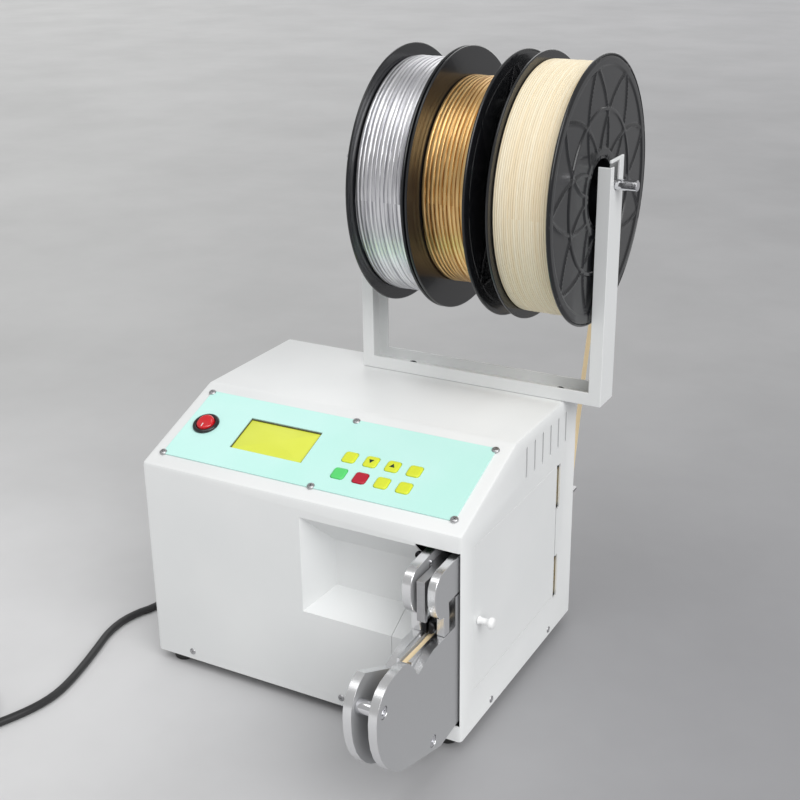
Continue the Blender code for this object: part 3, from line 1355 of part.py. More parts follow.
def make_spool(name, left):
    """A spool: two thin rims, a hub, a deep mouth each side and a web with the bore."""
    middle = SPOOL_W / 2
    half_web = SPOOL_WEB_T / 2
    profile = [
        (SPOOL_MOUTH_R, SPOOL_W),
        (SPOOL_R, SPOOL_W),
        (SPOOL_R, SPOOL_W - SPOOL_RIM_T),
        (SPOOL_HUB_R, SPOOL_W - SPOOL_RIM_T),
        (SPOOL_HUB_R, SPOOL_RIM_T),
        (SPOOL_R, SPOOL_RIM_T),
        (SPOOL_R, 0),
        (SPOOL_MOUTH_R, 0),
        (SPOOL_MOUTH_R, middle - half_web),
        (SPOOL_BORE_R, middle - half_web),
        (SPOOL_BORE_R, middle + half_web),
        (SPOOL_MOUTH_R, middle + half_web),
    ]
    spool = turned(f"spool_{name}", profile, (0, 0, 0), "X", "spool_plastic", steps=SPOOL_STEPS, ring=True)
    axis = new_empty(f"spool_{name}_axis", (left, SHAFT_Y, SPOOL_Z), DATUM_EMPTY)
    spool.parent = axis
    return axis


def make_winding(name, axis):
    """The wound ribbon of one spool: a plain core, and an outer layer as one flat ribbon that
    winds from rim to rim, half sunk in the core."""
    outer = WOUND_R[name]
    core_r = outer - RIBBON_T + RIBBON_SINK
    low = SPOOL_RIM_T + GAP
    high = SPOOL_W - SPOOL_RIM_T - GAP
    hub = (SPOOL_HUB_R + GAP) / math.cos(math.pi / WIND_POINTS)
    profile = [(hub, high), (core_r, high), (core_r, low), (hub, low)]
    core = turned(f"winding_{name}", profile, (0, 0, 0), "X", f"{FOIL[name]}", steps=WIND_POINTS, ring=True)
    core.parent = axis
    start = (low + high - WIND_TURNS * WIND_PITCH - RIBBON_W) / 2
    step = WIND_PITCH / WIND_POINTS
    work = bmesh.new()
    corners = [
        (start, 0, outer - RIBBON_T),
        (start, 0, outer),
        (start + RIBBON_W, 0, outer),
        (start + RIBBON_W, 0, outer - RIBBON_T),
    ]
    face = work.faces.new([work.verts.new(corner) for corner in corners])
    bmesh.ops.spin(
        work,
        geom=list(face.verts) + list(face.edges) + [face],
        cent=(0, 0, 0),
        axis=(1, 0, 0),
        dvec=(step, 0, 0),
        angle=2 * math.pi * WIND_TURNS,
        steps=WIND_TURNS * WIND_POINTS,
        use_duplicate=False,
    )
    bmesh.ops.holes_fill(work, edges=[edge for edge in work.edges if edge.is_boundary], sides=4)
    bmesh.ops.recalc_face_normals(work, faces=work.faces)
    mesh = bpy.data.meshes.new(f"ribbon_{name}")
    work.to_mesh(mesh)
    work.free()
    ribbon = keep(bpy.data.objects.new(f"ribbon_{name}", mesh), None, axis)
    join(core, ribbon)
    turn = np.arange(WIND_TURNS * WIND_POINTS + 1) / WIND_POINTS
    line = np.stack(
        [
            start + WIND_PITCH * turn,
            outer * np.sin(2 * math.pi * turn),
            outer * np.cos(2 * math.pi * turn),
        ],
        axis=1,
    )
    clear = least_gap(line, RIBBON_W, math.pi * outer)
    print(f"winding_{name}: least gap between turns {clear * 1000:.2f} mm")


def tie_route():
    """The tie ribbon's middle line, from the cream spool down to the rear guide, through the back
    panel to the feed rollers, forward under the guide block, up in front of it and back along
    the groove to the spindle's head."""
    winding_r = WOUND_R["cream"] + TIE_RUN_CLEAR
    head, inlet = TIE_HEAD_X, TIE_INLET_X
    back, drop = GUIDE_Y - SHAFT_Y, SPOOL_Z - GUIDE_Z
    leave = math.acos(winding_r / math.hypot(back, drop)) - math.atan2(drop, back)
    leave_y = SHAFT_Y + winding_r * math.cos(leave)
    leave_z = SPOOL_Z + winding_r * math.sin(leave)
    low_z = RIBBON_RUN_Z
    groove = GROOVE_FLOOR + GAP + TIE_T
    points = [(inlet, leave_y, leave_z)]
    for share in STRAND_SHARES:
        bow = STRAND_BOW * share * (1 - share)
        y = leave_y + (GUIDE_Y - leave_y) * share - bow
        points.append((inlet, y, leave_z + (GUIDE_Z - leave_z) * share))
    bend_y = BODY_D + GUIDE_OUT * BEND_Y_SHARE
    bend_z = TIE_INLET_Z + GUIDE_TO_INLET * BEND_Z_SHARE
    points += [(inlet, GUIDE_Y, GUIDE_Z), (inlet, bend_y, bend_z), (inlet, BODY_D, TIE_INLET_Z)]
    low_y = FRAME_REAR + LOW_RUN_BEHIND
    for share in INSIDE_SHARES:
        ease = share**2 * (3 - 2 * share)
        x = inlet + (head - inlet) * ease
        points.append((x, BODY_D + (low_y - BODY_D) * share, TIE_INLET_Z + (low_z - TIE_INLET_Z) * ease))
    points += [
        (head, low_y, low_z),
        (head, FRAME_REAR, low_z),
        (head, PINION_Y, low_z),
        (head, FRAME_FRONT, low_z),
        (head, 0, low_z),
        (head, CHANNEL_FRONT + CHANNEL_H, low_z + ARM_RUN_RISE),
    ]
    turn_y, turn_z = CHANNEL_FRONT + CHANNEL_NOSE_R, GROOVE_FLOOR - CHANNEL_NOSE_R
    turn_r = CHANNEL_NOSE_R + TIE_TURN_CLEAR
    points.append((head, turn_y - turn_r, (turn_z + CHANNEL_LOW) / 2))
    for angle in TIE_TURN_ANGLES:
        a = math.radians(angle)
        points.append((head, turn_y + turn_r * math.cos(a), turn_z + turn_r * math.sin(a)))
    points += [
        (head, GROOVE_RUN_Y, groove),
        (head, SPINDLE_HEAD_FRONT + HOOK_SLOT_D, groove + RETURN_LIFT),
    ]
    return points


def make_tie_ribbon():
    """The ribbon as an open strip with a wall added."""
    route = smooth_route(tie_route(), TIE_STEP, TIE_BEND_STEP)
    half = np.array([TIE_W / 2, 0, 0])
    points = np.concatenate([route - half, route + half])
    count = len(route)
    faces = [(i, i + 1, count + i + 1, count + i) for i in range(count - 1)]
    mesh = bpy.data.meshes.new("tie_ribbon")
    mesh.from_pydata(points.tolist(), [], faces)
    ribbon = keep(bpy.data.objects.new("tie_ribbon", mesh), "cream_paper", None)
    wall = ribbon.modifiers.new("wall", "SOLIDIFY")
    wall.thickness = TIE_T
    wall.offset = 0
    return ribbon


def make_guide():
    """A bent tab on the back panel with a slot that the ribbon runs down through."""
    half = TIE_W / 2 + GUIDE_MARGIN
    slot_w = TIE_W / 2 + GUIDE_SLOT_PLAY
    slot_d = TIE_T + GUIDE_SLOT_PLAY
    low_y, high_y = BODY_D + GAP, GUIDE_Y + slot_d + GUIDE_MARGIN
    top = GUIDE_Z + GUIDE_T / 2
    tab = plate(
        "ribbon_guide",
        [
            rounded_rectangle((TIE_INLET_X - half, low_y), (TIE_INLET_X + half, high_y), GUIDE_MARGIN / 2),
            rectangle((TIE_INLET_X - slot_w, GUIDE_Y - slot_d), (TIE_INLET_X + slot_w, GUIDE_Y + slot_d)),
        ],
        top - GUIDE_T,
        top,
        "Z",
        "steel",
        solid=True,
    )
    foot = box(
        "guide_foot", (TIE_INLET_X - half, low_y, top - half * 2), (TIE_INLET_X + half, low_y + GUIDE_T, top)
    )
    join(tab, foot)


def make_gland():
    """The tapered strain relief of the mains lead, clamped in the back panel."""
    tip = GLAND_INSIDE + SHEET + GLAND_L
    face = GLAND_INSIDE + GAP
    profile = [
        (0, tip),
        (GLAND_TIP_R, tip),
        (GLAND_HOLE_R, face + GLAND_FLANGE_T * GLAND_TAPER_SHARE),
        (GLAND_FLANGE_R, face + GLAND_FLANGE_T),
        (GLAND_FLANGE_R, face),
        (GLAND_HOLE_R, face),
        (GLAND_HOLE_R, 0),
        (0, 0),
    ]
    turned("cord_gland", profile, (GLAND_X, BODY_D - GLAND_INSIDE, GLAND_Z), "Y", "rubber", steps=SMALL_STEPS)


def coil_frame(turn):
    """Radius and height of the coil's middle line after so many turns: two layers, the lower
    spiralling in and the upper out, with the climb in the half turn where they meet."""
    turn = np.asarray(turn, float)
    radius = COIL_OUTER_R - COIL_SPACING * (COIL_LAYER_TURNS - np.abs(turn - COIL_LAYER_TURNS))
    rise = np.clip((turn - COIL_LAYER_TURNS) / COIL_CLIMB_TURNS + 0.5, 0, 1)
    height = COIL_LOW_Z + (COIL_HIGH_Z - COIL_LOW_Z) * rise**2 * (3 - 2 * rise)
    return radius, height


def coil_points():
    """The coil's middle line with a straight end of one diameter at each end."""
    turn = np.linspace(0, COIL_END_TURN, round(COIL_END_TURN * COIL_POINTS) + 1)
    radius, height = coil_frame(turn)
    angle = COIL_START_ANGLE - 2 * math.pi * turn
    points = np.stack([COIL_X + radius * np.cos(angle), COIL_Y + radius * np.sin(angle), height], axis=1)
    ends = []
    for index, reach in ((0, -2 * CORD_R), (-1, PLUG_LEAD)):
        heading = np.array([math.sin(angle[index]), -math.cos(angle[index]), 0])
        ends.append(points[index] + heading * reach)
    return np.vstack([ends[0], points, ends[1]])


# The mains lead's route on the bench: first from the gland and the back face, then from the datum
CORD_BEHIND = (
    (0.000, 0.047, 0.0205),
    (-0.003, 0.064, 0.0140),
    (-0.018, 0.078, 0.0040),
    (-0.039, 0.079, -0.0040),
    (-0.059, 0.066, -0.0065),
    (-0.072, 0.040, -0.0065),
)
CORD_ROUTE = (
    (-0.197, 0.230, -0.0065),
    (-0.200, 0.185, -0.0065),
    (-0.201, 0.140, -0.0065),
    (-0.202, 0.100, -0.0065),
    (-0.2053, 0.0650, -0.0065),
    (-0.2125, 0.0465, -0.0065),
    (-0.2160, 0.0276, -0.0065),
    (-0.2140, 0.0060, -0.0065),
    (-0.2072, -0.0170, -0.0065),
    (-0.1999, -0.0416, -0.0065),
    (-0.1935, -0.0670, -0.0065),
    (-0.1905, -0.0870, -0.0065),
    (-0.1912, -0.1040, -0.0065),
    (-0.1955, -0.1220, -0.0065),
    (-0.2035, -0.1430, -0.0063),
    (-0.2105, -0.1590, -0.0055),
)


def cord_route():
    """Out of the gland, along the bench, and into the coil's first straight end."""
    start = Vector((GLAND_X, BODY_D + SHEET + GLAND_L + GAP, GLAND_Z))
    coil = coil_points()
    heading = Vector(coil[1] - coil[0]).normalized()
    end = Vector(coil[0]) - heading * GAP
    points = [start + Vector((0, CORD_R * 2, 0))]
    points += [Vector((GLAND_X + x, BODY_D + y, z)) for x, y, z in CORD_BEHIND]
    points += [Vector(point) for point in CORD_ROUTE]
    points.append(end - heading * CORD_R * 2)
    return np.vstack([start, smooth_route(points, CORD_STEP), end])


def make_cord():
    """The free stretch of the mains lead and its put-away coil with tie and plug."""
    route = cord_route()
    tube("power_cord", route.tolist(), CORD_R, 2, "cord_rubber")
    points = coil_points()
    tube("cord_coil", points.tolist(), CORD_R, 1, "cord_rubber")
    clear = least_gap(points, 2 * CORD_R, math.pi * COIL_OUTER_R)
    lengths = [np.linalg.norm(np.diff(line, axis=0), axis=1).sum() for line in (route, points)]
    print(f"cord_coil: least gap between turns {clear * 1000:.2f} mm")
    print(f"mains lead: {lengths[0] * 1000:.0f} mm free and {lengths[1] * 1000:.0f} mm coiled")


def make_cord_tie():
    """A flat band round the four strands of the coil, standing on the bench under them."""
    turns = (COIL_CLIMB_TURNS, COIL_CLIMB_TURNS + 1)
    radii, _ = coil_frame(np.array(turns))
    clear = CORD_R + TIE_BAND_CLEAR
    inner_low = (radii.min() - clear, COIL_LOW_Z - CORD_R - GAP)
    inner_high = (radii.max() + clear, COIL_HIGH_Z + clear)
    outer_low = (inner_low[0] - TIE_BAND_T, -FOOT_H)
    outer_high = (inner_high[0] + TIE_BAND_T, inner_high[1] + TIE_BAND_T)
    half = TIE_BAND_W / 2
    loops = [rectangle(outer_low, outer_high), rectangle(inner_low, inner_high)]
    turn = COIL_START_ANGLE - 2 * math.pi * COIL_CLIMB_TURNS
    frame = new_empty("tie_frame", (COIL_X, COIL_Y, 0), DATUM_EMPTY, (0, 0, turn))
    plate("cord_tie", loops, -half, half, "Y", "motor_black", frame)


def make_plug():
    """The mains plug, lying on the bench beside the coil: a tapered relief, a body and blades."""
    points = coil_points()
    heading = Vector(points[-1] - points[-2]).normalized()
    turn = math.atan2(heading.y, heading.x)
    place = Vector(points[-1]) + heading * GAP
    frame = new_empty("plug_frame", place, DATUM_EMPTY, (0, 0, turn))
    profile = [
        (0, PLUG_RELIEF_L + PLUG_EDGE),
        (PLUG_RELIEF_BASE_R, PLUG_RELIEF_L + PLUG_EDGE),
        (PLUG_RELIEF_R, 0),
        (0, 0),
    ]
    plug = turned("mains_plug", profile, (0, 0, 0), "X", "motor_black", frame, steps=SMALL_STEPS)
    low = (PLUG_RELIEF_L, -PLUG_W / 2, -PLUG_HALF_T)
    high = (PLUG_RELIEF_L + PLUG_L, PLUG_W / 2, PLUG_HALF_T)
    body = round_edges(box("plug_body", low, high, parent=frame), PLUG_EDGE)
    join(plug, body)
    face = PLUG_RELIEF_L + PLUG_L
    for index, y in enumerate((-BLADE_SPREAD, BLADE_SPREAD)):
        blade_low = (face - PLUG_EDGE, y - BLADE_T / 2, 0)
        blade_high = (face + BLADE_L, y + BLADE_T / 2, BLADE_W)
        join(plug, box(f"blade_{index}", blade_low, blade_high, parent=frame))
    low = (face - PLUG_EDGE, -BLADE_T / 2, -BLADE_W - BLADE_T)
    high = (face + BLADE_L, BLADE_T / 2, -BLADE_T)
    join(plug, box("blade_earth", low, high, parent=frame))


clear_scene()
PARTS = new_collection("cable_tying_machine", False)
CUTTERS = new_collection("cutters", True)
MATERIALS = {name: make_finish(name) for name in FINISHES}
FOIL = {"silver": "silver_foil", "gold": "gold_foil", "cream": "cream_paper"}
DATUM_EMPTY = new_empty("machine_datum", DATUM)
PANEL = new_empty("panel_frame", (0, 0, FRONT_H), DATUM_EMPTY, (SLOPE_ANGLE, 0, 0))
JAW_EMPTY = new_empty("jaw_slide_axis", (SPINDLE_X, 0, BAR_TOP), DATUM_EMPTY)
SHAFT_EMPTY = new_empty("shaft_axis", (SHAFT_RIGHT, SHAFT_Y, SHAFT_Z), DATUM_EMPTY)

make_main_cover()
make_throat_plate()
make_base_pan()
make_rear_panel()
make_feet()
make_fascia()
make_display()
make_board()
make_keys()
make_switch()
make_door()
make_arm()
make_jaws()
make_jaw_slide()
make_jaw_pinion()
make_twist_drive()
make_frame()
make_feed()
make_motors()
make_power_supply()
make_bracket()
make_shaft()
for spool_name, spool_left in SPOOL_LEFTS.items():
    make_winding(spool_name, make_spool(spool_name, spool_left))
make_tie_ribbon()
make_guide()
make_gland()
make_cord()
make_cord_tie()
make_plug()
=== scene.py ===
# %% [markdown]
# # A cable winding and tying machine
#
# The imported CAD model is a fixed frame: its bodies, joints and plain solids are already in place.
# This lesson dresses that frame for a close look. Each new piece is a surface worked out with numpy
# from a formula, and each finish is a small tree of shader nodes. We start by loading the frame.

import json
import math

import bmesh
import bpy
import numpy as np
from mathutils import Matrix, Vector


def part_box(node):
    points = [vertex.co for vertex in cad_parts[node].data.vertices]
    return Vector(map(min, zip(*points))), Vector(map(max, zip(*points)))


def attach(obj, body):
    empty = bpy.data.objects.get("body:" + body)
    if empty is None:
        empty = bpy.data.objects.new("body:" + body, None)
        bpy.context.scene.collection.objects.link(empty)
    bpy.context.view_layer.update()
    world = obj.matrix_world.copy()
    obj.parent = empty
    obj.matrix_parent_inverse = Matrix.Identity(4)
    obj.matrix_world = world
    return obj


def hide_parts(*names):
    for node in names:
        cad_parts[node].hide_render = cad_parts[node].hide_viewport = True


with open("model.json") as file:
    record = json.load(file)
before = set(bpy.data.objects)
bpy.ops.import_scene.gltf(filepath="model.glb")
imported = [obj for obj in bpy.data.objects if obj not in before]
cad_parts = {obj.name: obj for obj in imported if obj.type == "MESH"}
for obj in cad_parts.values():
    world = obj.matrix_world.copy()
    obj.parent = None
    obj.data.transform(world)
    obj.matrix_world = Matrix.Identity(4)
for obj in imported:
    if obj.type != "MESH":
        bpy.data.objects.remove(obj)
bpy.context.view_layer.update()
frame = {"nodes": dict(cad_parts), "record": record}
BODY_OF = {node: body for body, nodes in frame["record"]["behaviour"]["bodies"].items() for node in nodes}
SLOT_OF = {part["node"]: part["material_slot"] for part in frame["record"]["subparts"]}

# %% [markdown]
# A drawing of this machine would measure everything from one corner of the housing, in millimetres.
# We do the same: x runs across from the middle, y back from the front face, z up from the bottom
# edge. The main cover's box tells where that datum lies in the frame.

# %% The datum, and a tilted frame for the key panel
MM = 0.001
BODY_H, FRONT_H, SLOPE_RUN = 221, 183, 100
cover_low, cover_high = (np.array(corner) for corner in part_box("main_cover"))
DATUM = np.array([(cover_low[0] + cover_high[0]) / 2, cover_low[1], cover_low[2]])
SLOPE = math.atan2(BODY_H - FRONT_H, SLOPE_RUN)
PANEL = np.array(
    [[1, 0, 0], [0, math.cos(SLOPE), math.sin(SLOPE)], [0, -math.sin(SLOPE), math.cos(SLOPE)]]
)


def place(points):
    """Millimetres from the datum become metres in the frame: p · 0.001 + datum."""
    return np.asarray(points, float) * MM + DATUM


def on_panel(points):
    """Panel coordinates (u across, v up the slope, n out of it) become datum millimetres."""
    return np.asarray(points, float) @ PANEL + np.array([0, 0, FRONT_H])


print("datum at", DATUM.round(4))

# %% [markdown]
# The camera stands where the photographer stood, a little to the right and above. Yaw, pitch and
# roll give three unit vectors, and the camera's matrix has them as its columns.

# %% The camera
CAMERA_SPOT = (528.7, -781.5, 644.1)
CAMERA_YAW, CAMERA_PITCH, CAMERA_ROLL = 28.7922, 21.9718, -0.7685
CAMERA_LENS = 59.315


def aim_camera(spot, yaw, pitch, roll, lens):
    """Columns are side, top and minus forward; roll turns side and top about forward."""
    yaw, pitch, roll = (math.radians(angle) for angle in (yaw, pitch, roll))
    forward = Vector((-math.sin(yaw) * math.cos(pitch), math.cos(yaw) * math.cos(pitch), -math.sin(pitch)))
    level = Vector((math.cos(yaw), math.sin(yaw), 0))
    rise = level.cross(forward)
    side = math.cos(roll) * level + math.sin(roll) * rise
    top = -math.sin(roll) * level + math.cos(roll) * rise
    data = bpy.data.cameras.new("camera")
    data.lens = lens
    camera = bpy.data.objects.new("camera", data)
    turn = Matrix((side, top, -forward)).transposed().to_4x4()
    camera.matrix_world = Matrix.Translation(place(spot)) @ turn
    bpy.context.scene.collection.objects.link(camera)
    bpy.context.scene.camera = camera


aim_camera(CAMERA_SPOT, CAMERA_YAW, CAMERA_PITCH, CAMERA_ROLL, CAMERA_LENS)
print("camera placed")

# %% [markdown]
# Every new piece goes through the same few steps. A grid of points becomes quads between
# neighbours, doubled points at poles and seams are merged, normals are turned outwards, and the
# piece rides on one body of the frame. The object itself stays at the origin, unturned: its place
# is in its mesh, as it is for the CAD nodes.

# %% From a grid of points to a piece
def quads(rows, columns, wrap_rows=False, wrap_columns=False):
    """Each quad joins (i, j), (i+1, j), (i+1, j+1) and (i, j+1); a wrapped side meets its start."""
    index = np.arange(rows * columns).reshape(rows, columns)
    if wrap_rows:
        index = np.vstack([index, index[:1]])
    if wrap_columns:
        index = np.hstack([index, index[:, :1]])
    corners = [index[:-1, :-1], index[1:, :-1], index[1:, 1:], index[:-1, 1:]]
    return np.stack(corners, axis=-1).reshape(-1, 4)


def heal(mesh):
    """Merges doubles closer than a micron and turns every face outwards."""
    work = bmesh.new()
    work.from_mesh(mesh)
    bmesh.ops.remove_doubles(work, verts=work.verts, dist=1e-6)
    bmesh.ops.dissolve_degenerate(work, edges=work.edges, dist=1e-7)
    bmesh.ops.recalc_face_normals(work, faces=work.faces)
    work.to_mesh(mesh)
    work.free()


def shade(mesh, angle):
    """Smooth, with a crease wherever two faces meet at more than the angle."""
    mesh.shade_smooth()
    mesh.set_sharp_from_angle(angle=math.radians(angle))


def adopt(obj, finish, body, nodes=(), slot=None):
    """Gives the piece its finish and its body, and hides the CAD nodes that it stands for."""
    obj.data.materials.clear()
    obj.data.materials.append(finish)
    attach(obj, body)
    if nodes:
        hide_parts(*nodes)
    slot = slot or (SLOT_OF[nodes[0]] if nodes else None)
    return obj


def piece(name, grids, finish, body, nodes=(), slot=None, angle=35):
    """One object from one or more (points in millimetres, wrap_rows, wrap_columns) grids."""
    points, faces, start = [], [], 0
    for grid, wrap_rows, wrap_columns in grids:
        rows, columns = grid.shape[:2]
        points.append(place(grid.reshape(-1, 3)))
        faces.append(quads(rows, columns, wrap_rows, wrap_columns) + start)
        start += rows * columns
    points, faces = np.concatenate(points), np.concatenate(faces)
    mesh = bpy.data.meshes.new(name)
    mesh.from_pydata(points, [], faces)
    heal(mesh)
    shade(mesh, angle)
    obj = bpy.data.objects.new(name, mesh)
    bpy.context.scene.collection.objects.link(obj)
    return adopt(obj, finish, body, nodes, slot)


# %% [markdown]
# Most turned parts, such as feet, knobs, screws and spools, are a profile swept round an axis. A
# drawn profile has sharp corners, and real parts never do, so one helper rounds each corner with a
# short curve first.

# %% Rounded profiles, turned shapes and slabs
def rounded(profile, radius, steps=4):
    """Each corner becomes a quadratic curve between the points that lie a radius before and after
    it, or a little under half of the shorter side where that is less."""
    points = np.asarray(profile, float)
    before, corners, after = points[:-2], points[1:-1], points[2:]
    one, two = before - corners, after - corners
    length_one = np.linalg.norm(one, axis=1, keepdims=True)
    length_two = np.linalg.norm(two, axis=1, keepdims=True)
    reach = np.minimum(radius, np.minimum(length_one, length_two) * 0.45)
    start, end = corners + one / length_one * reach, corners + two / length_two * reach
    t = np.linspace(0, 1, steps + 1)[None, :, None]
    curve = start[:, None] * (1 - t) ** 2 + 2 * corners[:, None] * t * (1 - t) + end[:, None] * t**2
    curve = curve.reshape(-1, points.shape[1])
    return np.vstack([points[:1], curve, points[-1:]])


def lathe(profile, axis, centre, sides=72):
    """radius · (cos, sin) round the axis and the profile's height along it."""
    turn = np.linspace(0, 2 * math.pi, sides, endpoint=False)[:, None]
    radius, along = np.asarray(profile, float).T
    ring = np.broadcast_arrays(along, radius * np.cos(turn), radius * np.sin(turn))
    return np.roll(np.stack(ring, axis=-1), "XYZ".index(axis), axis=-1) + np.asarray(centre, float)


def slab(outline, low, high, edge, steps=3):
    """A flat outline from low to high: rings that shrink towards a middle point at both ends, with
    the rim's corners rounded by a quarter circle of radius edge."""
    outline = np.asarray(outline, float)
    middle = outline.mean(axis=0)
    before, after = np.roll(outline, 1, 0), np.roll(outline, -1, 0)
    along = after - before
    normal = np.stack([along[:, 1], -along[:, 0]], axis=1)
    normal /= np.linalg.norm(normal, axis=1, keepdims=True)
    turn = np.linspace(0, math.pi / 2, steps + 1)
    inset = np.concatenate([edge * (1 - np.sin(turn)), edge * (1 - np.cos(turn))])
    level = np.concatenate([low + edge * (1 - np.cos(turn)), high - edge * (1 - np.sin(turn))])
    rings = outline[None] - normal[None] * inset[:, None, None]
    pole = np.broadcast_to(middle, rings[:1].shape)
    rings = np.concatenate([pole, rings, pole])
    level = np.concatenate([[low], level, [high]])
    return np.concatenate([rings, np.broadcast_to(level[:, None, None], rings.shape[:2] + (1,))], axis=2)


def rounded_box(half_u, half_v, corner, count=6):
    """A rectangle's outline, anticlockwise, with quarter circles at its corners."""
    turn = np.linspace(0, math.pi / 2, count)
    quarter = np.stack([np.cos(turn), np.sin(turn)], axis=1) * corner
    signs = ((1, 1, 0), (-1, 1, 1), (-1, -1, 2), (1, -1, 3))
    corners = []
    for sign_u, sign_v, quarters in signs:
        a = quarters * math.pi / 2
        spin = np.array([[math.cos(a), math.sin(a)], [-math.sin(a), math.cos(a)]])
        middle = np.array([sign_u * (half_u - corner), sign_v * (half_v - corner)])
        corners.append(quarter @ spin + middle)
    return np.concatenate(corners)


# %% [markdown]
# Shader maths reads best as plain arithmetic. The small class below wraps a node's output, so that
# `1 - mask * 0.5` adds its Math nodes by itself. Finish holds one material and makes any node from
# its type, its settings and what goes into its sockets.

# %% Arithmetic on sockets
class Value:
    """A node's output that takes part in Python arithmetic."""

    def __init__(self, finish, socket):
        self.finish, self.socket = finish, socket

    def math(self, operation, *others):
        settings = {"operation": operation}
        return self.finish.node("ShaderNodeMath", settings, dict(enumerate((self, *others))))

    def flip(self, operation, other):
        return self.finish.node("ShaderNodeMath", {"operation": operation}, {0: other, 1: self})

    def __add__(self, other):
        return self.math("ADD", other)

    def __sub__(self, other):
        return self.math("SUBTRACT", other)

    def __rsub__(self, other):
        return self.flip("SUBTRACT", other)

    def __mul__(self, other):
        return self.math("MULTIPLY", other)

    __radd__ = __add__
    __rmul__ = __mul__

    def step(self, low, high):
        """0 below low, 1 above high, and a smooth rise between them."""
        sockets = {"Value": self, "From Min": low, "From Max": high}
        return self.finish.node("ShaderNodeMapRange", {"interpolation_type": "SMOOTHSTEP"}, sockets)


class Finish:
    """One material: a Principled shader, its constants, and the nodes that vary it."""

    def __init__(self, name, colour, roughness, metallic=0.0, **constants):
        self.material = bpy.data.materials.new(name)
        self.material.use_nodes = True
        self.tree = self.material.node_tree
        self.shader = next(node for node in self.tree.nodes if node.type == "BSDF_PRINCIPLED")
        self.set("Base Color", (*colour, 1))
        self.set("Roughness", roughness)
        self.set("Metallic", metallic)
        for socket, value in constants.items():
            self.set(socket.replace("_", " ").title(), value)

    def feed(self, socket, value):
        if isinstance(value, Value):
            self.tree.links.new(value.socket, socket)
        else:
            socket.default_value = value

    def set(self, socket, value):
        self.feed(self.shader.inputs[socket], value)

    def node(self, kind, settings=None, sockets=None, output=0):
        """Any node: its settings first, such as a Math node's operation, then its sockets."""
        made = self.tree.nodes.new(kind)
        for key, value in (settings or {}).items():
            setattr(made, key, value)
        for key, value in (sockets or {}).items():
            self.feed(made.inputs[key], value)
        return Value(self, made.outputs[output])

    def spot(self, scale=(1, 1, 1), turn=(0, 0, 0)):
        """Object coordinates, in metres, stretched and turned."""
        coordinates = self.node("ShaderNodeTexCoord", output="Object")
        sockets = {"Vector": coordinates, "Scale": scale, "Rotation": turn}
        return self.node("ShaderNodeMapping", None, sockets)

    def unwrap(self, scale=(1, 1, 1)):
        """The piece's own UV map: metres round it, then metres across it."""
        coordinates = self.node("ShaderNodeUVMap", {"uv_map": "winding"})
        return self.node("ShaderNodeMapping", None, {"Vector": coordinates, "Scale": scale})

    def axis(self, vector, index):
        return self.node("ShaderNodeSeparateXYZ", None, {0: vector}, output=index)

    def noise(self, scale, detail=2.0, rough=0.5, at=None):
        sockets = {"Scale": scale, "Detail": detail, "Roughness": rough, "Vector": at or self.spot()}
        return self.node("ShaderNodeTexNoise", None, sockets)

    def mix(self, factor, first, second):
        first, second = ((*c, 1) if isinstance(c, tuple) else c for c in (first, second))
        return self.node("ShaderNodeMix", {"data_type": "RGBA"}, {0: factor, 6: first, 7: second}, output=2)

    def relief(self, height, distance, strength=1.0):
        """A bump of that height in metres feeds the shader's normal."""
        sockets = {"Height": height, "Distance": distance, "Strength": strength}
        self.set("Normal", self.node("ShaderNodeBump", None, sockets))
        return self


print("helpers ready")

# %% [markdown]
# The housing is folded sheet with a white powder coat. Baked powder is never quite smooth: it
# keeps a fine orange peel a millimetre or so across, and its gloss wanders a little. A noise drives
# a very low bump and a small change of roughness.

# %% Painted sheet and the printed film
def powder_coat():
    made = Finish("powder_coat", (0.83, 0.845, 0.845), 0.42)
    cloud, peel = made.noise(9, 3), made.noise(900, 2)
    made.set("Base Color", made.mix(cloud.step(0.3, 0.7), (0.815, 0.83, 0.83), (0.85, 0.862, 0.86)))
    made.set("Roughness", 0.36 + made.noise(60, 3) * 0.14)
    return made.relief(peel, 0.00006, 0.35).material


def printed_film():
    made = Finish("printed_film", (0.56, 0.91, 0.83), 0.4)
    fine = made.noise(1800, 2)
    made.set("Base Color", made.mix(made.noise(14, 2).step(0.3, 0.7), (0.55, 0.90, 0.82), (0.60, 0.92, 0.86)))
    made.set("Roughness", 0.34 + fine * 0.12)
    return made.relief(fine, 0.00003, 0.3).material


def film_ink(name, colour):
    """The film again, printed in a strong colour."""
    made = Finish(name, colour, 0.38)
    made.set("Base Color", made.mix(made.noise(700, 2), colour, tuple(c * 0.9 for c in colour)))
    return made.relief(made.noise(1800, 2), 0.00003, 0.3).material


# %% [markdown]
# The arm and the jaws are milled aluminium plates. Their flat faces were blasted to a dull satin,
# while their rims keep the cutter's fine lines and shine. The object's own normal tells the two
# apart: it points along x on a face, and away from x on a rim.

# %% Metals
def milled_aluminium():
    made = Finish("milled_aluminium", (0.60, 0.61, 0.62), 0.4, 1.0)
    facing = made.axis(made.node("ShaderNodeTexCoord", output="Normal"), 0).math("ABSOLUTE")
    face = facing.step(0.80, 0.97)
    grain = made.noise(2600, 2)
    lines = made.noise(420, 3, 0.6, made.spot((14, 1, 1)))
    satin = made.mix(grain, (0.50, 0.505, 0.515), (0.57, 0.575, 0.585))
    made.set("Base Color", made.mix(face, (0.90, 0.905, 0.915), satin))
    made.set("Metallic", 1 - face * 0.35)
    made.set("Roughness", 0.16 + lines * 0.14 + face * (0.38 + grain * 0.08))
    return made.relief(grain * face + lines * (1 - face) * 0.6, 0.00004, 0.4).material


